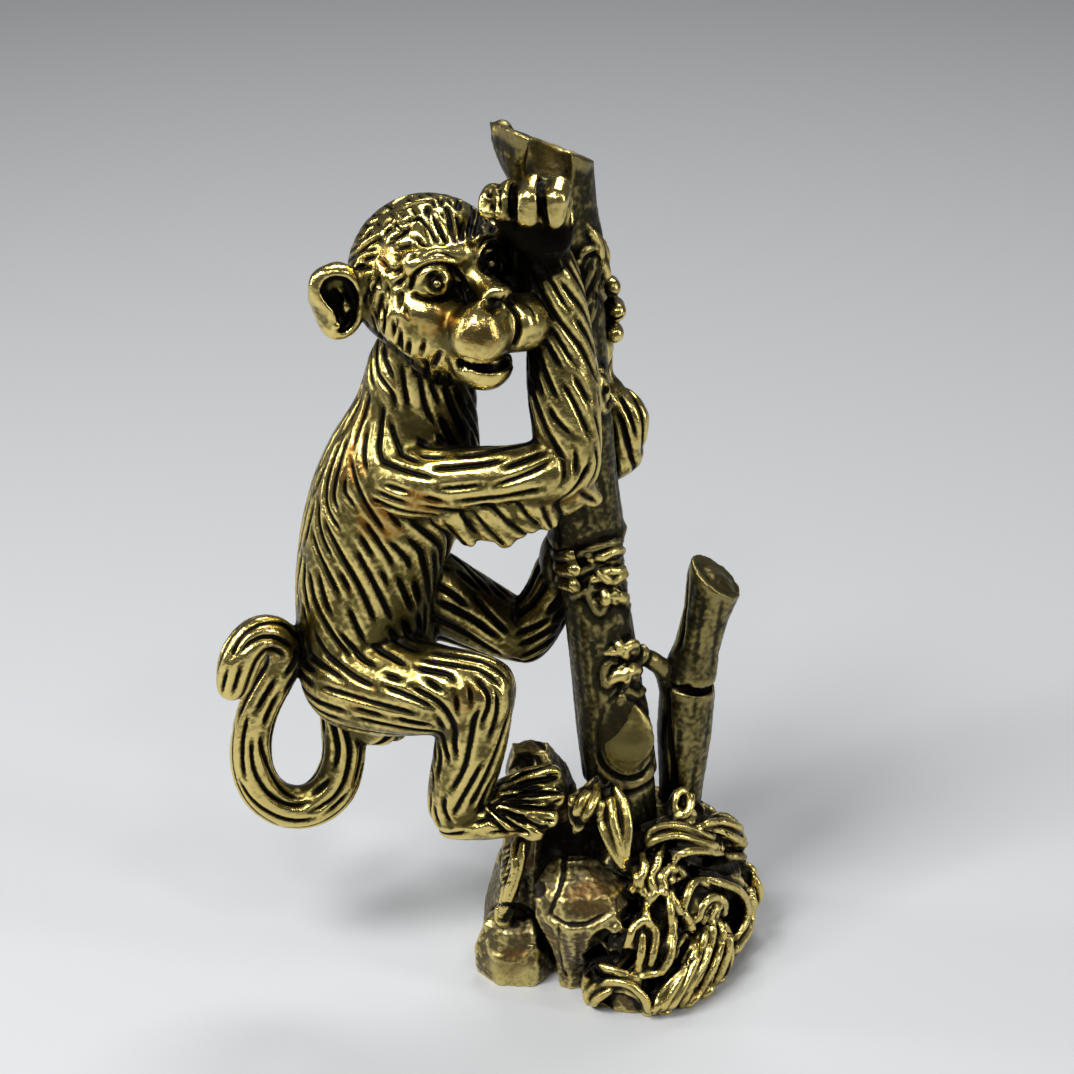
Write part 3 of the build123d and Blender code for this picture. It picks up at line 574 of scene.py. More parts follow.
toe_lines = [
    [(502, 790), (528, 782), (562, 778)],
    [(500, 796), (530, 794), (566, 791)],
    [(500, 802), (530, 807), (562, 808)],
    [(496, 808), (522, 818), (552, 830)],
    [(506, 782), (524, 772), (548, 764)],
    [(490, 806), (508, 822), (530, 836)],
    [(484, 812), (498, 826), (510, 838)],
    [(508, 788), (540, 786)],
    [(506, 800), (540, 801)],
    [(500, 808), (528, 824)],
]
knuckle_lines = [
    [(606, 293), (616, 296), (626, 292)], [(606, 316), (616, 320), (626, 316)],
    [(606, 340), (616, 344), (626, 340)],
    [(586, 566), (606, 562), (630, 560)], [(588, 580), (606, 578), (632, 576)],
    [(590, 594), (608, 592), (634, 590)],
]
cut(monkey, all_drawn(monkey, hand_lines, ["right_hand"]), 0.6 * mm, 0.42 * mm, 1.3, 0.6 * mm)
ear_ridge = all_drawn(monkey, [[(338, 286), (346, 300), (344, 318), (336, 328)]], ["right_ear"])
cut(monkey, ear_ridge, -0.45 * mm, 0.4 * mm, 1.0, 0.5 * mm)
clear_ink(monkey, ear_ridge, 0.4 * mm)
cut(monkey, all_drawn(monkey, toe_lines, ["right_foot"]), 0.5 * mm, 0.38 * mm, 1.4, 0.8 * mm)
cut(monkey, all_drawn(monkey, knuckle_lines, ["left_hand", "left_foot"]), 0.3 * mm, 0.35 * mm, 1.5, tiny)
monkey.refresh()

# %% [markdown]
# ## The fur
#
# The carver combs the fur with long gouge strokes that follow the body and never cross. A few
# strokes are drawn over the photograph for each limb. Between them the hair's direction
# is blended, and strokes grow along it from scattered places, each stopping where it would
# run into another. On the side that the photograph doesn't show, the nearest drawn stroke rules.

# %% Draw the way the hair lies
hair_lines = {
    ("torso",): [
        [(359, 402), (317, 485), (298, 568), (298, 602), (306, 660), (332, 700)],
        [(371, 409), (359, 450), (368, 489), (397, 527), (422, 549)],
        [(336, 457), (330, 501), (358, 543), (384, 587), (409, 640)],
        [(317, 501), (320, 536), (346, 587), (372, 640), (413, 660)],
        [(310, 568), (322, 614), (360, 663), (394, 683), (430, 690)],
        [(380, 568), (398, 606), (416, 644)],
        [(417, 560), (427, 602), (427, 637)],
        [(393, 396), (400, 434), (418, 466)],
        [(371, 345), (371, 377), (387, 402)],
        [(410, 377), (418, 412), (436, 440)],
        [(441, 396), (452, 424), (462, 446)],
        [(470, 392), (482, 420), (497, 441)],
    ],
    ("right_upper_arm",): [
        [(400, 452), (428, 462), (470, 460), (505, 453), (540, 444)],
        [(404, 480), (448, 490), (499, 483), (530, 472), (548, 462)],
        [(540, 438), (560, 452), (566, 474), (552, 494)],
        [(410, 500), (450, 508), (500, 504), (540, 498)],
    ],
    ("right_forearm",): [
        [(556, 430), (572, 446), (576, 470), (560, 490)],
        [(579, 402), (592, 434), (598, 463), (588, 484)],
        [(556, 364), (572, 393), (591, 425), (600, 455)],
        [(547, 326), (566, 355), (585, 382)],
        [(543, 288), (559, 313), (579, 336)],
        [(604, 262), (596, 292), (590, 322)],
        [(536, 400), (548, 430), (562, 452)],
        [(548, 250), (566, 272), (584, 296)],
    ],
    ("right_arm_fringe",): [
        [(435, 501), (451, 530), (467, 548)],
        [(480, 501), (506, 527), (524, 540)],
        [(531, 485), (547, 500), (556, 520)],
        [(570, 484), (584, 492), (598, 500)],
    ],
    ("right_thigh",): [
        [(330, 640), (364, 667), (410, 686), (444, 705), (456, 722)],
        [(425, 663), (456, 668), (482, 674), (500, 692), (505, 714)],
        [(448, 672), (462, 688), (466, 706), (458, 724)],
        [(478, 672), (492, 696), (484, 724)],
        [(380, 650), (410, 668), (440, 690)],
        [(330, 700), (370, 712), (410, 722)],
    ],
    ("right_shin",): [
        [(440, 730), (448, 766), (438, 805), (446, 830)],
        [(506, 718), (487, 766), (463, 810)],
        [(471, 728), (463, 766), (445, 795)],
        [(430, 735), (432, 780), (430, 812)],
    ],
    ("right_foot",): [
        [(450, 828), (484, 820), (510, 800), (540, 772), (562, 770)],
        [(452, 832), (490, 822), (520, 808), (562, 798)],
        [(455, 836), (490, 832), (520, 822), (556, 822)],
        [(470, 838), (500, 836), (530, 838)],
    ],
    ("left_thigh",): [
        [(440, 570), (458, 580), (478, 598), (498, 621), (524, 646)],
        [(440, 610), (465, 622), (490, 640), (512, 654)],
        [(470, 566), (500, 592), (530, 620)],
    ],
    ("left_shin",): [
        [(524, 640), (547, 629), (563, 610), (580, 585)],
        [(512, 622), (535, 605), (548, 585), (560, 566)],
    ],
    ("left_upper_arm", "left_forearm", "left_hand"): [
        [(612, 380), (630, 420), (640, 455)],
        [(624, 380), (640, 415), (643, 445)],
    ],
    ("tail",): [
        [
            (340, 716), (350, 759), (335, 795), (296, 812), (262, 800), (244, 770), (246, 722),
            (268, 680), (286, 655),
        ],
        [(330, 716), (336, 752), (322, 782), (296, 796), (276, 780), (262, 740), (276, 700), (296, 668)],
        [(300, 640), (276, 622), (246, 632), (226, 672)],
        [(292, 655), (268, 640), (246, 656), (236, 684)],
    ],
    ("head",): [
        [(446, 240), (441, 216), (433, 200)],
        [(488, 228), (482, 206), (470, 196)],
        [(412, 246), (396, 230), (384, 218)],
        [(392, 262), (372, 256), (354, 258)],
        [(380, 292), (376, 318), (382, 346)],
        [(424, 312), (416, 338), (424, 362)],
        [(402, 300), (396, 330), (402, 360)],
        [(404, 272), (388, 280), (376, 292)],
    ],
    ("right_ear", "left_ear"): [
        [(330, 272), (318, 290), (326, 325), (352, 342)],
    ],
}


# %% Blend the drawn directions
class Lie:
    """The direction of the hair at any place, blended from the strokes drawn on its solid."""

    def __init__(self, skin, lines):
        self.skin = skin
        self.trees = {}
        for names, drawings in lines.items():
            spots, ways = [], []
            for pixels in drawings:
                places = drawn(skin, pixels, names)
                for before, after in zip(places[:-4:3], places[4::3]):
                    if (after - before).length < 1.2 * mm:
                        spots.append((before + after) / 2)
                        ways.append((after - before).normalized())
            if not spots:
                continue
            tree = tree_of(spots)
            for name in names:
                self.trees[skin.names.index(name)] = (tree, ways)

    def at(self, place, normal, label):
        """The way along the surface, or None where nothing was drawn for the solid."""
        if label not in self.trees:
            return None
        tree, ways = self.trees[label]
        blend = Vector()
        for _, index, distance in tree.find_n(place, 5):
            blend += ways[index] / (distance + 0.3 * mm) ** 2
        blend -= normal * blend.dot(normal)
        return blend.normalized() if blend.length > 0 else None


# %% Grow strokes that keep clear of each other
class Comb:
    """Grows strokes over a skin, evenly spaced, along the lie of its hair."""

    step = 0.2 * mm

    def __init__(self, skin, lie, gap):
        self.skin = skin
        self.lie = lie
        self.gap = gap
        self.cells = {}
        self.strokes = []

    def cell(self, place):
        """The cube of space that a place lies in, for a quick search."""
        return tuple(int(c // self.gap) for c in place)

    def crowded(self, place, clear):
        """Whether a stroke already runs nearer than the clear distance."""
        x, y, z = self.cell(place)
        for i in (x - 1, x, x + 1):
            for j in (y - 1, y, y + 1):
                for k in (z - 1, z, z + 1):
                    for other in self.cells.get((i, j, k), ()):
                        if (other - place).length < clear:
                            return True
        return False

    def grow(self, place, sense, length, allowed):
        """Half a stroke, which ends early at a sharp bend, at bare skin or near another stroke."""
        places = []
        way = None
        for _ in range(int(length / self.step)):
            place, normal, face, _ = self.skin.tree.find_nearest(place)
            corner = self.skin.corners[face][0]
            turn = self.lie.at(place, normal, self.skin.labels[corner])
            if turn is None or not allowed[corner]:
                break
            turn *= sense
            if way is not None:
                if turn.dot(way) < 0.2:
                    break
                turn = (turn + way).normalized()
            way = turn
            place = place + way * self.step
            if self.crowded(place, self.gap * 0.62):
                break
            places.append(place)
        return places

    def comb(self, seeds, allowed, shortest, longest):
        """Grows a stroke from each seed that has room for one, and counts them."""
        before = len(self.strokes)
        for seed in seeds:
            place = Vector(self.skin.points[seed])
            if not allowed[seed] or self.crowded(place, self.gap * 0.92):
                continue
            length = dice.uniform(shortest, longest)
            ahead = self.grow(place, 1, length / 2, allowed)
            behind = self.grow(place, -1, length / 2, allowed)
            stroke = [*reversed(behind), place, *ahead]
            if len(stroke) * self.step < shortest * 0.7:
                continue
            self.strokes.append(stroke)
            for each in stroke:
                self.cells.setdefault(self.cell(each), []).append(each)
        return len(self.strokes) - before


# %% Comb the fur
dice = random.Random(7)


def shuffled(points, count):
    """Some of the points in random order, for strokes to grow from."""
    seeds = list(points)
    dice.shuffle(seeds)
    return seeds[:count]


fur_seeds = 26000
lie = Lie(monkey, hair_lines)
forward, sideways, upward = from_head(monkey.points)
bare_face = face & (forward > 2.4 + 0.05 * sideways**2) & (upward < 4.2)  # its edge curves back
no_fur = bare_face | monkey.of("right_hand", "left_hand", "left_foot", "right_ear", "left_ear")
right_foot = monkey.of("right_foot")
seeds = shuffled(range(len(monkey.points)), fur_seeds)
long_fur = Comb(monkey, lie, 1.02 * mm)
print(long_fur.comb(seeds, ~no_fur & ~face & ~right_foot, 3.0 * mm, 11.0 * mm), "long strokes")
short_fur = Comb(monkey, lie, 0.85 * mm)
print(short_fur.comb(seeds, ~no_fur & face, 1.1 * mm, 2.8 * mm), "short strokes on the head")
foot_fur = Comb(monkey, lie, 1.1 * mm)
print(foot_fur.comb(seeds, right_foot, 2.0 * mm, 6.0 * mm), "strokes on the foot")

# %% Cut the fur
cut(monkey, long_fur.strokes, 0.36 * mm, 0.56 * mm, 2.0, 1.1 * mm)
cut(monkey, short_fur.strokes, 0.26 * mm, 0.42 * mm, 2.0, 0.6 * mm, face)
cut(monkey, foot_fur.strokes, 0.3 * mm, 0.5 * mm, 2.0, 0.8 * mm, right_foot)
monkey.refresh()

# %% [markdown]
# ## The bamboo
#
# The stalks are plainer than the monkey, so their interest is in the joints, the long dry
# wrinkles of the bark and a grainy casting skin. Raised leaf sprigs climb the tall stalk: each
# is a drawn line that swells the surface instead of cutting it.

# %% Join the stalks
bamboo_nodes = [
    "stalk_root", "stalk_lower", "stalk_middle", "stalk_top", "side_stalk_lower",
    "side_stalk_upper", "stalk_twig", "sprig_top", "sprig_high", "sprig_middle_upper",
    "sprig_middle_centre", "sprig_middle_lower", "sprig_low_upper", "sprig_low_lower",
    "stalk_sheath",
]
stalk_nodes = bamboo_nodes[:6]
side_nodes = ["side_stalk_lower", "side_stalk_upper"]
bamboo_wax = [
    wax((7.9, 3.0, 34.1), (1.9, 1.9, 0.9), 38),  # the side stalk's mouth is all but closed
    wax((-10.1, -0.7, 74.3), (0.8, 0.9, 0.7)),  # blunt tip of the tall stalk
]
bamboo = Skin(one_skin("bamboo", [*node_copies(bamboo_nodes), *bamboo_wax], fine_grain * 1.1), bamboo_nodes)
bamboo.relax(5)
bamboo.refresh()


# %% Cut rings round a stalk
def ring(skin, names, centre, along, depth, reach):
    """A groove all round a stalk where a plane crosses it, or a raised ring if depth is negative."""
    along = np.array(Vector(along).normalized())
    off = np.abs((skin.points - np.array(centre)) @ along) / reach
    share = np.where(off < 1, (1 - off.clip(0, 1)) ** 2, 0) * skin.of(*names)
    skin.points -= skin.normals * (share * depth)[:, None]
    if depth > 0:
        skin.patina_and_shade = np.maximum(skin.patina_and_shade, share)


tall_way = Vector((-0.115, 0, 1))
side_way = Vector((0.2, 0, 1))
tall_joint = Vector((-2.75, 0, 39.3)) * mm
root_joint = Vector((0.15, 0.3, 17.3)) * mm
side_joint = Vector((5.75, 3.0, 25.2)) * mm
ring(bamboo, ["stalk_lower", "stalk_middle"], tall_joint, tall_way, 0.35 * mm, 0.5 * mm)
ring(bamboo, ["stalk_lower", "stalk_middle"], tall_joint + tall_way * 1.1 * mm, tall_way, -0.2 * mm, 0.8 * mm)
ring(bamboo, ["stalk_root", "stalk_lower"], root_joint, tall_way, 0.5 * mm, 0.6 * mm)
ring(bamboo, side_nodes, side_joint, side_way, 0.25 * mm, 0.45 * mm)

# %% Wrinkle the bark
bark_lines = {
    ("stalk_lower", "stalk_middle", "stalk_top", "stalk_root"): [
        [(600, 262), (592, 320), (596, 360)],
        [(606, 420), (612, 470), (618, 520)],
        [(572, 500), (582, 560), (590, 640), (598, 720), (604, 772)],
        [(626, 560), (640, 640), (652, 720)],
        [(510, 132), (516, 160), (522, 182)],
        [(582, 170), (586, 200), (592, 214)],
        [(612, 790), (616, 806)],
    ],
    tuple(side_nodes): [
        [(700, 600), (694, 640), (690, 676)],
        [(722, 600), (714, 650), (710, 680)],
        [(690, 706), (684, 750), (680, 784)],
        [(706, 706), (700, 750), (694, 784)],
    ],
}
bark_seeds = 9000
bark = Comb(bamboo, Lie(bamboo, bark_lines), 1.5 * mm)
seeds = shuffled(range(len(bamboo.points)), bark_seeds)
stalks = bamboo.of(*stalk_nodes)
print(bark.comb(seeds, stalks, 2.5 * mm, 12.0 * mm), "wrinkles of bark")
cut(bamboo, bark.strokes, 0.09 * mm, 0.5 * mm, 1.5, 1.5 * mm, stalks)
bamboo.refresh()

# %% Cut the deep lines of the stalks
stalk_cuts = [
    [(688, 572), (686, 600), (681, 638), (676, 652)],
    [(668, 690), (670, 740), (676, 790)],
]
sheath_outline = [
    (604, 704), (597, 735), (603, 764), (622, 778), (644, 773), (655, 752), (652, 724), (641, 702),
    (622, 694), (604, 704),
]
side_notch = [(683, 686), (698, 691), (717, 685)]
sheath_foot = [(597, 752), (604, 768), (622, 779), (641, 776), (653, 762)]
cut(bamboo, all_drawn(bamboo, stalk_cuts, stalk_nodes), 0.4 * mm, 0.4 * mm, 1.4, 1.5 * mm)
cut(bamboo, [drawn(bamboo, sheath_outline)], 0.12 * mm, 0.4 * mm, 1.6)
cut(bamboo, [drawn(bamboo, sheath_foot)], 0.4 * mm, 0.45 * mm, 1.4)
cut(bamboo, [drawn(bamboo, side_notch, side_nodes)], 0.7 * mm, 0.6 * mm, 1.5)
push(bamboo, spot(bamboo, 628, 742), 2.6 * mm, 0.3 * mm)
push(bamboo, spot(bamboo, 493, 131), 4.2 * mm, 0.8 * mm, None, (1, 0, -0.2))  # the lip's corner

# %% Raise the leaf sprigs
sprig_lines = [
    [(560, 562), (585, 552), (606, 545), (632, 540)],
    [(566, 578), (590, 568), (612, 562), (638, 560)],
    [(572, 596), (592, 590), (612, 585), (640, 582)],
    [(590, 226), (600, 250), (597, 285), (587, 330)],
    [(599, 246), (583, 254), (572, 276), (577, 298), (588, 280), (596, 262)],
    [(600, 262), (609, 276), (606, 297), (598, 286)],
    [(594, 296), (584, 308), (580, 328), (591, 318), (596, 304)],
    [(597, 366), (609, 378), (613, 398), (604, 412), (598, 396), (598, 380)],
    [(586, 552), (606, 580), (632, 608)],
    [(600, 560), (618, 550), (636, 556), (622, 569), (606, 570)],
    [(612, 584), (630, 574), (641, 584), (630, 597), (616, 594)],
    [(594, 582), (590, 597), (600, 613), (606, 598), (600, 585)],
    [(617, 638), (628, 668), (622, 702)],
    [(622, 652), (636, 643), (647, 652), (638, 665), (626, 664)],
    [(624, 676), (638, 669), (649, 682), (638, 695), (626, 690)],
    [(616, 660), (606, 668), (606, 685), (616, 680)],
]
# Painted shadow beside each raised sprig.
sprig_shadows = (
    (588, 286, 1.0), (604, 270, 0.8), (590, 316, 0.8), (606, 390, 0.7), (612, 590, 0.7),
    (628, 664, 0.7),
)
on_stalk = all_drawn(bamboo, sprig_lines)
hollows = bamboo.patina_and_shade.copy()
cut(bamboo, on_stalk, 0.22 * mm, 1.3 * mm, 1.0, 0.4 * mm)
bamboo.patina_and_shade = np.maximum(hollows, bamboo.patina_and_shade * 0.9)
bamboo.refresh()
cut(bamboo, on_stalk, -0.62 * mm, 0.5 * mm, 0.8, 0.4 * mm)
clear_ink(bamboo, on_stalk, 0.42 * mm)
bamboo.refresh()
for u, v, reach in sprig_shadows:
    blacken(bamboo, u, v, reach * mm, None, 0.9)
clear_ink(bamboo, on_stalk, 0.42 * mm)

# %% [markdown]
# ## The ground
#
# Rocks, leaves and grass run into each other on the real casting, with black gaps between
# them. The solids give the mound and the main blades. Thinner blades are drawn over the
# photograph like the fur, and each becomes a tapered tube before everything is remeshed.

# %% Draw one blade of grass
ground_nodes = [
    "mound", "foot_rock", "front_left_rock", "front_boulder", "hanging_leaf", "bud_leaf",
    "left_leaf", "right_strands", "right_leaf", "crescent_ridge", "wave_tuft",
    "front_curled_leaf", "front_grass", "back_grass", "socket_leaves", "far_right_leaf",
    "stalk_foot_bud",
]
ground_trees = solid_trees(ground_nodes)


def on_ground(u, v, lift):
    """The nearest place of the ground that a pixel sees, raised towards the camera."""
    way = sight(u, v)
    hits = [tree.ray_cast(camera_place, way) for tree in ground_trees]
    reached = [hit[3] for hit in hits if hit[0] is not None]
    return camera_place + way * (min(reached) - lift) if reached else None


def blade(name, pixels, radius, lift=0.15 * mm):
    """A tapered tube along a line drawn over the photograph."""
    spots = [on_ground(u, v, lift) for u, v in smooth_line(pixels, 4.0)]
    spots = [place for place in spots if place is not None]
    for _ in range(3):
        eased = [(a + b * 2 + c) / 4 for a, b, c in zip(spots, spots[1:], spots[2:])]
        spots = [spots[0], *eased, spots[-1]]
    curve = bpy.data.curves.new(name, "CURVE")
    curve.dimensions = "3D"
    curve.bevel_depth = radius
    curve.bevel_resolution = 3
    curve.use_fill_caps = True
    line = curve.splines.new("POLY")
    line.points.add(len(spots) - 1)
    for index, place in enumerate(spots):
        line.points[index].co = (*place, 1)
        share = index / (len(spots) - 1)
        line.points[index].radius = 0.15 + 0.95 * math.sin(math.pi * share) ** 0.7
    piece = bpy.data.objects.new(name, curve)
    bpy.context.scene.collection.objects.link(piece)
    only(piece)
    bpy.ops.object.convert(target="MESH")
    return piece


# %% Grow the grass and leaves
# Each blade is its radius in millimetres and then the pixels it passes.
blades = [
    (0.55, (645, 829), (668, 821), (690, 826), (709, 838)),
    (0.5, (649, 841), (676, 834), (707, 842)),
    (0.5, (655, 860), (667, 850), (696, 850), (717, 846)),
    (0.7, (699, 831), (719, 820), (740, 827), (756, 845)),
    (0.55, (706, 838), (725, 832), (746, 843), (754, 852)),
    (0.5, (727, 851), (747, 858), (755, 850)),
    (0.6, (574, 828), (576, 802), (585, 786)),
    (0.6, (585, 830), (588, 804), (595, 788)),
    (0.5, (594, 824), (598, 804), (602, 792)),
    (0.5, (672, 818), (673, 802), (681, 793), (688, 800), (687, 816)),
    (0.55, (697, 813), (703, 800), (711, 793), (718, 801), (719, 812)),
    (0.6, (590, 1010), (594, 999), (606, 989), (628, 982), (644, 993), (649, 1012)),
    (0.6, (588, 1006), (586, 985), (592, 972), (610, 966), (632, 972)),
    (0.45, (610, 960), (611, 938), (621, 918)),
    (0.45, (620, 966), (623, 943), (633, 921), (640, 906)),
    (0.5, (631, 968), (640, 948), (644, 922), (652, 902), (668, 888)),
    (0.45, (648, 971), (660, 949), (668, 926), (671, 900)),
    (0.45, (660, 975), (672, 951), (684, 931), (700, 916)),
    (0.5, (722, 930), (729, 951), (723, 976), (707, 1001)),
    (0.5, (712, 926), (717, 949), (708, 976), (691, 1005)),
    (0.5, (703, 930), (705, 955), (694, 981), (677, 1010)),
    (0.5, (694, 945), (692, 966), (680, 990), (664, 1011)),
    (0.45, (684, 960), (678, 981), (667, 998), (652, 1010)),
    (0.5, (708, 877), (731, 884), (748, 902), (745, 924), (736, 946)),
    (0.4, (752, 874), (759, 892), (756, 918)),
    (0.4, (676, 858), (684, 872), (690, 888)),
    (0.4, (640, 856), (642, 872), (637, 888)),
    (0.45, (686, 918), (688, 900), (698, 884), (712, 890)),
    (0.4, (700, 922), (706, 904), (716, 898), (722, 908)),
    (0.45, (503, 914), (511, 884), (522, 846)),
    (0.4, (503, 888), (506, 868), (510, 848)),
]
ground_copies = node_copies(ground_nodes)
for number, (radius, *pixels) in enumerate(blades):
    ground_copies.append(blade(f"blade_{number}", pixels, radius * mm))
ground = Skin(one_skin("ground", ground_copies, fine_grain), ground_nodes)
ground.relax(5)
ground.refresh()
print(len(blades), "blades grown")

# %% Draw the ridges of grass and leaf
grass_ridges = [
    [(646, 840), (654, 830), (669, 826), (685, 827), (701, 833), (714, 838)],
    [(649, 844), (662, 838), (676, 836), (691, 839), (704, 843), (719, 846)],
    [(694, 833), (706, 824), (723, 822), (739, 827), (752, 836), (757, 849)],
    [(704, 831), (720, 831), (736, 839), (749, 847), (756, 852)],
    [(726, 846), (739, 843), (754, 851)],
    [(677, 859), (688, 852), (707, 852), (726, 856), (752, 857)],
    [(659, 852), (658, 863), (650, 875)],
    [(675, 868), (683, 875), (675, 881)],
    [(659, 887), (667, 895), (670, 907), (672, 923)],
    [(672, 894), (678, 907), (688, 920), (694, 930)],
    [(630, 946), (632, 932), (638, 923), (645, 919)],
    [(645, 905), (648, 920), (656, 932), (654, 948), (650, 964)],
    [(638, 971), (642, 952), (643, 938)],
    [(675, 920), (672, 939), (670, 958), (662, 971), (653, 976)],
    [(694, 932), (691, 948), (682, 961)],
    [(722, 922), (723, 936), (717, 958), (704, 984), (691, 1006)],
    [(714, 922), (712, 939), (706, 958), (694, 980), (682, 1006)],
    [(706, 926), (702, 945), (696, 961), (685, 984), (672, 1008)],
    [(699, 932), (694, 952), (688, 965), (677, 984), (662, 1010)],
    [(691, 961), (682, 971), (669, 984), (659, 997), (654, 1013)],
    [(727, 926), (730, 942), (725, 961), (714, 984), (701, 1003)],
    [(585, 997), (593, 987), (605, 982), (621, 982), (634, 988), (645, 1000), (648, 1012)],
    [(584, 987), (589, 971), (598, 966), (611, 969), (630, 976), (650, 977)],
    [(593, 1006), (598, 999), (608, 994)],
    [(585, 997), (587, 1007), (593, 1010)],
    [(707, 881), (723, 884), (739, 891), (747, 904), (746, 920), (738, 932)],
    [(683, 907), (688, 891), (694, 882), (704, 878)],
    [(698, 920), (701, 907), (711, 897), (723, 900), (727, 913)],
    [(707, 923), (714, 910), (722, 907)],
    [(755, 875), (760, 891), (762, 910), (758, 926)],
    [(753, 881), (752, 894), (755, 907)],
    [(633, 868), (637, 881), (632, 891)],
    [(643, 855), (645, 868), (640, 881), (643, 894)],
    [(654, 868), (650, 878), (655, 891), (650, 900)],
    [(669, 867), (662, 878), (666, 888)],
    [(675, 804), (677, 793), (685, 790), (691, 796), (690, 809), (683, 814), (676, 808)],
    [(691, 809), (694, 817), (691, 822)],
    [(706, 804), (704, 793), (708, 787), (714, 791), (717, 804)],
]
leaf_ridges = [
    [(569, 802), (573, 788), (579, 782)],
    [(576, 814), (581, 801), (587, 791)],
    [(584, 821), (590, 810), (597, 795), (598, 785)],
    [(603, 804), (600, 820), (608, 843), (619, 862), (625, 868)],
    [(618, 788), (625, 804), (629, 826), (627, 849), (625, 868)],
    [(611, 800), (614, 823), (620, 846), (624, 862)],
    [(523, 846), (520, 868), (513, 891), (505, 907), (500, 916)],
    [(512, 846), (515, 868), (507, 894), (502, 912)],
]
ridges = all_drawn(ground, grass_ridges + leaf_ridges)


# %% Sink the ground between the ridges
def sink_between(skin, strokes, clear, far, depth, mask):
    """Sinks and blackens what lies near the strokes but not under them."""
    tree = tree_of([place for stroke in strokes for place in stroke])
    share = np.zeros(len(skin.points))
    for point in np.flatnonzero(mask):
        distance = tree.find(skin.points[point])[2]
        if distance < far:
            rise = min(1.0, max(0.0, (distance - clear) / clear))
            fall = min(1.0, (far - distance) / (0.5 * far))
            share[point] = rise * fall
    for _ in range(2):
        share = skin.neighbours_mean(share)
    skin.points -= skin.normals * (share * depth)[:, None]
    skin.patina_and_shade = np.maximum(skin.patina_and_shade, share * 0.9)


bare_rocks = ("foot_rock", "front_left_rock", "front_boulder")
planted = ~ground.of(*bare_rocks)
towards_camera = (np.array(camera_place) - ground.points) * ground.normals
planted &= towards_camera.sum(1) > 0
sink_between(ground, ridges, 0.32 * mm, 1.7 * mm, 0.6 * mm, planted)
ground.refresh()
cut(ground, ridges, -0.36 * mm, 0.42 * mm, 0.9, 1.2 * mm)
clear_ink(ground, ridges, 0.36 * mm)
ground.refresh()

# %% Carve the mound where the photograph doesn't show it

class Slope:
    """Hair that runs down a mound, for grass that no drawing shows."""

    def at(self, place, normal, label):
        """Down along the surface, swaying a little from place to place."""
        way = Vector((0.35 * math.sin(place.x / mm * 0.8), 0.2 * math.cos(place.y / mm), -1))
        way -= normal * way.dot(normal)
        return way.normalized() if way.length > 0.1 else None


back_seeds = 4000
back = (ground.points[:, 1] > -4 * mm) & (ground.points[:, 2] > 0.6 * mm)
bare = ground.of("mound") & ~planted & back
back_grass = Comb(ground, Slope(), 0.75 * mm)
seeds = shuffled(np.flatnonzero(bare), back_seeds)
print(back_grass.comb(seeds, bare, 2.0 * mm, 6.0 * mm), "strokes of grass on the back")
cut(ground, back_grass.strokes, 0.4 * mm, 0.34 * mm, 1.4, 1.2 * mm, bare)
ground.refresh()

# %% Break the rocks
rock_cracks = [
    [(564, 855), (562, 880), (551, 908), (550, 918)],
    [(551, 916), (566, 924), (586, 924), (606, 914)],
    [(558, 924), (560, 950), (566, 978)],
    [(503, 733), (516, 742), (532, 738), (546, 750)],
    [(508, 770), (520, 758), (536, 756), (542, 770)],
    [(490, 910), (500, 905), (520, 907), (534, 916)],
]
rock_edges = [
    [
        (540, 866), (555, 857), (566, 863), (598, 862), (612, 866), (627, 884), (627, 900),
        (614, 914), (598, 926),
    ],
    [(598, 926), (588, 940), (583, 972)],
    [(533, 884), (546, 918), (557, 932), (566, 974)],
    [(486, 934), (492, 953), (507, 962), (524, 958), (533, 944), (531, 914)],
    [(486, 934), (490, 916), (504, 908)],
    [(533, 944), (548, 958), (556, 968)],
]
hatching = [[(501, v), (511, v - 5)] for v in range(850, 892, 6)]
cut(ground, all_drawn(ground, rock_edges), -0.2 * mm, 0.6 * mm, 1.0, 0.8 * mm)
cut(ground, all_drawn(ground, rock_cracks), 0.3 * mm, 0.4 * mm, 1.5, 0.8 * mm)
cut(ground, all_drawn(ground, hatching), 0.2 * mm, 0.25 * mm, 1.5, 0.2 * mm)
for u, v, reach, amount in (  # black hollows under and between the rocks
    (524, 762, 1.2, -0.8),
    (714, 868, 2.0, -0.8),
    (544, 938, 1.4, -0.8),
    (600, 954, 1.6, -1.2),
    (606, 940, 1.2, -0.7),
    (594, 972, 1.2, -0.9),
    (538, 890, 1.0, -0.4),
    (560, 840, 2.0, -0.3),
):
    push(ground, spot(ground, u, v), reach * mm, amount * mm)
    blacken(ground, u, v, reach * mm)
ground.refresh()

# %% [markdown]
# ## Grain
#
# A casting is never glass-smooth: the mould leaves a grain, coarse on the rocks, finer on the
# bark and slight on the monkey. Noise of two sizes gives that skin.

# %% Grain the skins
def grain(skin, height, mask=None):
    """Lumps of two sizes all over a skin."""
    places = map(Vector, skin.points)
    lumps = np.array([noise(place * 2.6 / mm) + 0.8 * noise(place * 1.1 / mm) for place in places])
    skin.points += skin.normals * (lumps * height * (1.0 if mask is None else mask))[:, None]
    skin.refresh()


rocks = ground.of("mound", *bare_rocks)
grain(bamboo, 0.03 * mm)
grain(ground, 0.06 * mm, np.where(rocks, 1.0, 0.4))
grain(monkey, 0.02 * mm)
skins = (monkey, bamboo, ground)
for skin in skins:
    skin.points[:, 2] = np.maximum(skin.points[:, 2], 0)  # the underside stays flat
    skin.refresh()
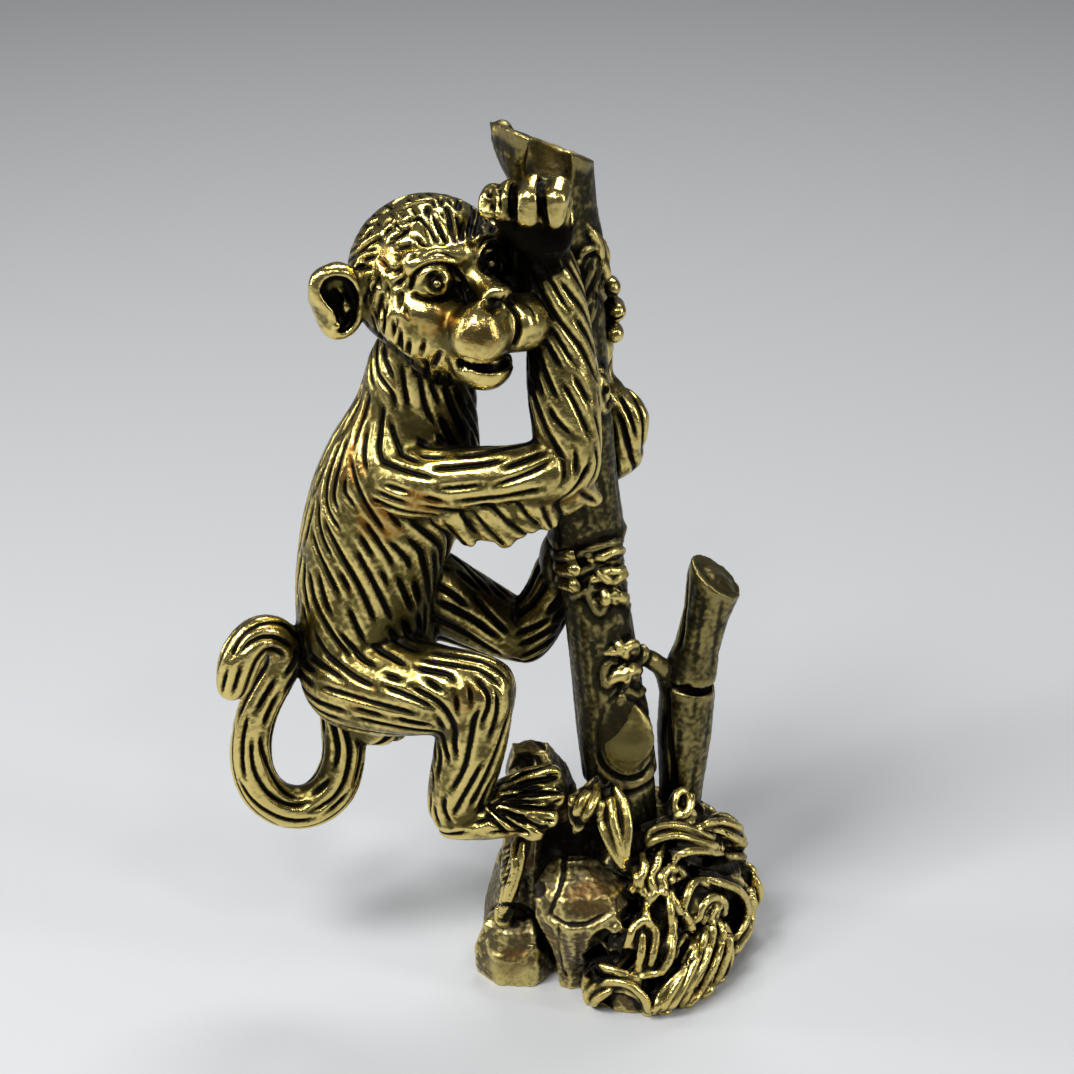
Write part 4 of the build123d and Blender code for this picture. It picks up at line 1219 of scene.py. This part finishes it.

# %% [markdown]
# ## Blackening, rubbing and painted shade
#
# Antique brass is dipped until it is black and then rubbed. The cloth reaches the ridges and
# not the grooves, so two things are measured at each point: how far it lies below its near
# neighbours and how far below its wider surroundings. A third, how much of the sky it can't see,
# is painted shade, laid into the colour. Blender's bevel and occlusion nodes could measure these
# too, but only while rendering.

# %% Measure the hollows
def hollow(skin, rounds):
    """How far each point lies below the surface blurred over some rounds, in mm."""
    blurred = skin.points
    for _ in range(rounds):
        blurred = skin.neighbours_mean(blurred)
    return ((blurred - skin.points) * skin.normals).sum(1) / mm


# %% Measure the shade
def shade(skin, others, count=9000, rays=18, far=9 * mm):
    """The share of directions over each point that other metal blocks, painted into the colour as shade."""
    rolls = np.random.default_rng(3)
    chosen = rolls.choice(len(skin.points), min(count, len(skin.points)), replace=False)
    ways = rolls.normal(size=(rays, 3))
    ways /= np.linalg.norm(ways, axis=1)[:, None]
    tree = tree_of([skin.points[point] for point in chosen])
    blocked = np.zeros(len(chosen))
    for index, point in enumerate(chosen):
        normal = skin.normals[point]
        start = Vector(skin.points[point] + normal * 0.12 * mm)
        lifted = ways * np.where(ways @ normal < 0, -1, 1)[:, None] + normal * 0.4
        hits = 0
        for way in lifted:
            if any(other.tree.ray_cast(start, way, far)[0] is not None for other in others):
                hits += 1
        blocked[index] = hits / rays
    spread = np.empty(len(skin.points))
    for index, point in enumerate(skin.points):
        found = tree.find_n(point, 3)
        spread[index] = sum(blocked[hit[1]] for hit in found) / len(found)
    for _ in range(8):
        spread = skin.neighbours_mean(spread)
    return spread


# %% Work out the finish and the painted shade of every point
black_groove = 0.035  # millimetres below the near neighbours at which black is full
gold_ridge = 0.03  # and above them for gold
wide_swell = 0.12  # the same for the wider surroundings
for skin in skins:
    near_hollow = hollow(skin, 3)
    wide_hollow = hollow(skin, 30)
    # Black is the patina in the hollows together with painted shade laid on along lines and spots.
    skin.black = np.maximum(skin.patina_and_shade.clip(0, 1), (near_hollow / black_groove).clip(0, 1) * 0.6)
    skin.black = np.maximum(skin.black, ((wide_hollow - 0.01) / wide_swell).clip(0, 1))
    skin.bright = (-near_hollow / gold_ridge).clip(0, 1) * 0.5
    skin.bright += (-wide_hollow / wide_swell).clip(0, 1) * 0.7
    skin.bright = skin.bright.clip(0, 1)
    # Painted shade: darker where other metal hides the sky.
    skin.gloom = shade(skin, skins)
    means = [round(float(values.mean()), 2) for values in (skin.black, skin.bright, skin.gloom)]
    print(skin.piece.name, "mean black, bright and gloom:", means)


# %% Gild what the cloth reached and tan what the bath reached
def region(skin, centre, reach):
    """1 at a place and 0 beyond its reach, with a soft edge."""
    return (1.6 - reaches_from(skin, centre, reach) * 1.6).clip(0, 1)


def rub(skin, share, off_black, off_gloom, gold):
    """Takes black and painted shade away by a share of each and leaves gold."""
    skin.black *= 1 - share * off_black
    skin.gloom *= 1 - share * off_gloom
    skin.bright = np.maximum(skin.bright, share * gold)


def warm(skin, patches, amount=1.0):
    """Leaves an orange-brown stain at each pixel, given with its reach in millimetres."""
    for u, v, reach in patches:
        stain = region(skin, spot(skin, u, v), reach * mm) * amount
        skin.tan = np.maximum(skin.tan, stain)


tall_mouth = Vector((-6.9, -0.6, 71.2)) * mm
side_mouth = Vector((8.0, 3.0, 34.4)) * mm
for mouth, reach in ((tall_mouth, 4.4 * mm), (side_mouth, 2.4 * mm)):
    rub(bamboo, region(bamboo, mouth, reach), 0.75, 0.6, 0.75)
for skin in skins:
    skin.tan = np.zeros(len(skin.points))
mouth_patches = ((540, 150, 2.0), (548, 165, 2.0), (556, 158, 1.8), (530, 142, 1.4), (722, 582, 1.6))
for u, v, reach in mouth_patches:
    rub(bamboo, region(bamboo, spot(bamboo, u, v), reach * mm), 0.85, 0.85, 0.6)
warm(bamboo, mouth_patches, 0.9)
rims = [
    [(497, 126), (512, 137), (530, 142), (560, 153), (588, 163)],
    [(680, 562), (700, 556), (722, 570), (732, 588)],
]
for line in rims:
    for place in drawn(bamboo, line)[::6]:
        rub(bamboo, region(bamboo, place, 1.1 * mm), 0.7, 0.7, 1.0)
# The sheath is left duller and darker.
dull = region(bamboo, spot(bamboo, 628, 742), 3.6 * mm)
bamboo.bright *= 1 - dull * 0.9
bamboo.gloom += dull * 0.2

# %% Tan the rest, and paint shade and light on it
fur_patches = (
    (428, 320, 2.4), (392, 262, 2.4), (420, 505, 2.6), (372, 520, 3.0), (352, 470, 2.0),
    (470, 700, 2.5),
)
warm(monkey, fur_patches)
monkey.tan *= np.where(monkey.of("head"), 0.7, 1.0)
warm(monkey, [(480, 336, 2.6)], 0.55)  # the muzzle
# Painted shade on the far-side limbs.
monkey.gloom += 0.18 * monkey.of("left_thigh", "left_shin", "left_foot", "left_upper_arm")
# Painted shade on the lower torso and thighs.
for u, v, reach in ((390, 640, 11.0), (440, 690, 8.0), (420, 590, 7.0), (460, 760, 6.0)):
    monkey.gloom += 0.10 * region(monkey, spot(monkey, u, v), reach * mm)
# Painted light on the head and face: less shade there.
monkey.gloom -= 0.2 * region(monkey, spot(monkey, 440, 310), 10 * mm)
# Painted light on the side stalk: less shade there.
bamboo.gloom -= 0.08 * bamboo.of(*side_nodes)
for u, v, reach in ((500, 974, 2.0), (524, 976, 2.0), (618, 890, 1.2)):
    rub(ground, region(ground, spot(ground, u, v), reach * mm), 0.6, 0.0, 0.8)
warm(ground, [(588, 900, 2.4), (512, 964, 2.0), (694, 990, 2.0), (606, 992, 1.6)])

# %% [markdown]
# ## Back to separate pieces
#
# The figurine's parts stay parts: each skin is cut where its solids meet, and every cut is
# closed inside the joint where nobody sees it. The whole skin's normals are kept on the
# pieces, so that light runs over a joint as if there were none.

# %% Settle where each piece ends
def settled_labels(skin, rounds=10):
    """Labels with their ragged borders smoothed, by letting each point side with its neighbours."""
    votes = np.eye(len(skin.names))[skin.labels]
    for _ in range(rounds):
        votes = skin.neighbours_mean(votes)
    return votes.argmax(1)


# %% Cut one piece out of a skin
def cut_out(skin, labels, number, name):
    """One closed mesh of the squares that carry a label."""
    squares = skin.corners[labels[skin.corners[:, 0]] == number]
    kept, renumbered = np.unique(squares, return_inverse=True)
    mesh = bpy.data.meshes.new(name)
    mesh.vertices.add(len(kept))
    mesh.vertices.foreach_set("co", skin.points[kept].ravel())
    mesh.loops.add(squares.size)
    mesh.loops.foreach_set("vertex_index", renumbered.ravel().astype(np.int32))
    mesh.polygons.add(len(squares))
    mesh.polygons.foreach_set("loop_start", np.arange(0, squares.size, 4, dtype=np.int32))
    mesh.update(calc_edges=True)
    for attribute in ("black", "bright", "gloom", "tan"):
        values = getattr(skin, attribute)
        layer = mesh.attributes.new(attribute, "FLOAT", "POINT")
        layer.data.foreach_set("value", values[kept].astype(np.float32))
    soft = skin.normals[kept]
    shape = bmesh.new()
    shape.from_mesh(mesh)
    rim = [edge for edge in shape.edges if edge.is_boundary]
    bmesh.ops.holes_fill(shape, edges=rim, sides=0)
    left_open = sum(edge.is_boundary for edge in shape.edges)
    bmesh.ops.triangulate(shape, faces=[face for face in shape.faces if len(face.verts) > 4])
    shape.to_mesh(mesh)
    shape.free()
    mesh.shade_smooth()
    mesh.normals_split_custom_set_from_vertices([tuple(normal) for normal in soft])
    piece = bpy.data.objects.new(name, mesh)
    bpy.context.scene.collection.objects.link(piece)
    return piece, left_open


# %% Cut all the pieces
slot_of = {part["node"]: part["material_slot"] for part in frame["record"]["subparts"]}
pieces = {}
for skin in skins:
    labels = settled_labels(skin)
    for number, name in enumerate(skin.names):
        if not (labels == number).any():
            print("no skin left for", name)
            continue
        piece, left_open = cut_out(skin, labels, number, "cast_" + name)
        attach(piece, "root")
        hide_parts(name)
        pieces[name] = piece
        if left_open:
            print(name, "still has", left_open, "open edges")
    bpy.data.objects.remove(skin.piece)
print(len(pieces), "pieces,", sum(len(piece.data.polygons) for piece in pieces.values()), "faces")

# %% [markdown]
# ## The brass
#
# One recipe serves every finish: black in the hollows and where shade is painted, gold on the
# ridges, and between them a warm middle that wanders towards orange-brown where the bath took
# hold. Only the amounts differ from monkey to bark. The maths is written as Python, through a
# small class that adds a Math node for each operator.

# %% Shader maths as Python
class Wire:
    """A node's output that can be added, subtracted and multiplied like a number."""

    def __init__(self, board, output):
        self.board = board
        self.output = output

    def math(self, operation, *values):
        """A Math node that works on these values."""
        return self.board.node("ShaderNodeMath", {"operation": operation}, values, 0)

    def __add__(self, other):
        return self.math("ADD", self, other)

    def __sub__(self, other):
        return self.math("SUBTRACT", self, other)

    def __rsub__(self, other):
        return self.math("SUBTRACT", other, self)

    def __mul__(self, other):
        return self.math("MULTIPLY", self, other)

    def fade(self, low, high):
        """0 below low, 1 above high and a soft rise between."""
        settings = {"interpolation_type": "SMOOTHSTEP", "clamp": True}
        values = {"Value": self, "From Min": low, "From Max": high}
        return self.board.node("ShaderNodeMapRange", settings, values, 0)


class Board:
    """A material's node tree, with one method that adds any node."""

    def __init__(self, name):
        self.material = bpy.data.materials.new(name)
        self.material.use_nodes = True
        self.tree = self.material.node_tree
        self.tree.nodes.clear()

    def node(self, kind, settings=None, values=(), output=0):
        """A new node, wired to the values that are wires and set to those that are numbers."""
        node = self.tree.nodes.new(kind)
        for key, value in (settings or {}).items():
            setattr(node, key, value)
        pairs = values.items() if isinstance(values, dict) else enumerate(values)
        for key, value in pairs:
            if isinstance(value, Wire):
                self.tree.links.new(value.output, node.inputs[key])
            else:
                node.inputs[key].default_value = value
        return Wire(self, node.outputs[output])

    def finish(self, surface):
        """Wires the surface to the material's output and gives the material back."""
        output = self.tree.nodes.new("ShaderNodeOutputMaterial")
        self.tree.links.new(surface.output, output.inputs["Surface"])
        return self.material

    def attribute(self, name):
        """What a piece carries under a name at each of its points."""
        return self.node("ShaderNodeAttribute", {"attribute_name": name}, (), "Fac")

    def noise(self, size, detail=4.0, rough=0.55):
        """Noise whose lumps are about this size, read in the object's own coordinates."""
        place = self.node("ShaderNodeTexCoord", None, (), "Object")
        values = {"Vector": place, "Scale": 1 / size, "Detail": detail, "Roughness": rough}
        return self.node("ShaderNodeTexNoise", None, values, "Fac")

    def blend(self, share, low, high):
        """Between two colours."""
        return self.node("ShaderNodeMix", {"data_type": "RGBA"}, {0: share, 6: low, 7: high}, 2)


# %% The recipe
def brass(name, gold, middle, orange, orange_share, mottling, ridge_rough, grit, gilding=0.0, soot=0.006):
    """Antique brass: black in the hollows and where shade is painted, gold on the ridges and a wandering
    middle.
    """
    board = Board(name)
    wander = board.noise(5 * mm, 3.0)
    mottle = board.noise(0.8 * mm, 4.0, 0.6)
    speck = board.noise(0.17 * mm, 2.0, 0.6)
    gloom = board.attribute("gloom")
    mist = (mottle - 0.5) * mottling
    # Dark is the patina plus the painted shade, and the painted shade also takes gold off.
    dark = (board.attribute("black") + (gloom - 0.32) * 0.9 + mist).fade(0.18, 0.6)
    rubbed = (board.attribute("bright") * 0.9 + (mottle - 0.5) * 0.9 - gloom * 0.7 + gilding).fade(0.05, 0.85)
    stain = wander + (mottle - 0.5) * 0.5 + board.attribute("tan") * 0.35
    warmth = stain.fade(0.9 - orange_share, 1.08 - orange_share)
    body = board.blend(warmth, middle, orange)
    metal = board.blend(rubbed * (1 - warmth * 0.5), body, gold)
    whole = ((speck - 0.5) * grit + 0.5).fade(0.1, 0.42)
    speckled = board.blend(whole, (0.05, 0.04, 0.02, 1), metal)
    colour = board.blend(dark, speckled, (soot, soot * 0.85, soot * 0.6, 1))
    rough = (1 - rubbed) * 0.14 + ridge_rough + dark * 0.12
    relief = {"Strength": 0.45, "Distance": 0.05 * mm, "Height": speck + mottle}
    bump = board.node("ShaderNodeBump", None, relief)
    values = {"Base Color": colour, "Metallic": 1.0, "Roughness": rough, "Normal": bump}
    return board.finish(board.node("ShaderNodeBsdfPrincipled", None, values, "BSDF"))


gold = (0.70, 0.56, 0.19, 1)
# The amounts follow the order of brass(): three colours, then the shares.
recipes = {
    "monkey_brass": (gold, (0.10, 0.080, 0.023, 1), (0.22, 0.10, 0.015, 1), 0.3, 0.45, 0.19, 0.6),
    "bamboo_brass": (
        (0.27, 0.22, 0.08, 1), (0.026, 0.022, 0.011, 1), (0.055, 0.034, 0.012, 1), 0.3, 0.4, 0.33, 1.4,
    ),
    "relief_brass": (gold, (0.15, 0.12, 0.04, 1), (0.18, 0.11, 0.03, 1), 0.2, 0.5, 0.28, 0.5),
    "ground_brass": (
        (0.60, 0.49, 0.18, 1), (0.12, 0.095, 0.045, 1), (0.17, 0.10, 0.035, 1), 0.34, 0.28, 0.29, 1.5,
        0.0, 0.022,
    ),
    "plant_brass": (
        gold, (0.18, 0.145, 0.045, 1), (0.24, 0.13, 0.03, 1), 0.22, 0.4, 0.25, 0.4, 0.1, 0.02,
    ),
}
finishes = {name: brass(name, *amounts) for name, amounts in recipes.items()}
for name, piece in pieces.items():
    piece.data.materials.clear()
    piece.data.materials.append(finishes[slot_of[name]])

# %% [markdown]
# ## Light and floor
#
# Polished metal shows the room more than itself, so the room is most of the look: a broad soft
# box over the left shoulder for the long highlights, a strip on the right for the second edge,
# a box behind for the rims, four small ones for the glints, and a plain pale floor that the
# lower faces mirror.

# %% Lay the floor
floor_side = 3.0  # in metres
bpy.ops.mesh.primitive_plane_add(size=floor_side, location=(0, 0, 0))
floor = bpy.context.object
floor.name = "floor"
paper = Board("pale_paper")
values = {"Base Color": (0.44, 0.45, 0.46, 1), "Roughness": 0.6}
floor.data.materials.append(paper.finish(paper.node("ShaderNodeBsdfPrincipled", None, values, "BSDF")))


# %% Hang the lamps
def softbox(name, place, aim, width, height, power):
    """A rectangular lamp at a place, turned towards its aim."""
    bpy.ops.object.light_add(type="AREA", location=place)
    lamp = bpy.context.object
    lamp.name = name
    lamp.data.shape = "RECTANGLE"
    lamp.data.size = width
    lamp.data.size_y = height
    lamp.data.energy = power
    lamp.rotation_euler = (Vector(aim) - Vector(place)).to_track_quat("-Z", "Y").to_euler()


middle = (-8 * mm, 0, 38 * mm)
lamps = (
    ("key", (-0.16, -0.16, 0.34), 0.12, 0.12, 1.45),
    ("strip", (0.26, -0.10, 0.16), 0.03, 0.20, 0.3),
    ("back", (0.05, 0.20, 0.34), 0.20, 0.08, 0.6),
    ("left_glint", (-0.22, -0.12, 0.22), 0.02, 0.12, 0.28),
    ("front_glint", (-0.06, -0.26, 0.30), 0.05, 0.02, 0.20),
    ("right_glint", (0.10, -0.20, 0.34), 0.03, 0.03, 0.12),
    ("low_glint", (-0.28, 0.02, 0.12), 0.02, 0.14, 0.2),
)
for name, place, width, height, power in lamps:
    softbox(name, place, middle, width, height, power)
world = bpy.data.worlds.new("room")
world.use_nodes = True
world.node_tree.nodes["Background"].inputs["Color"].default_value = (0.5, 0.52, 0.55, 1)
world.node_tree.nodes["Background"].inputs["Strength"].default_value = 0.19
bpy.context.scene.world = world
bpy.context.scene.view_settings.view_transform = "Standard"
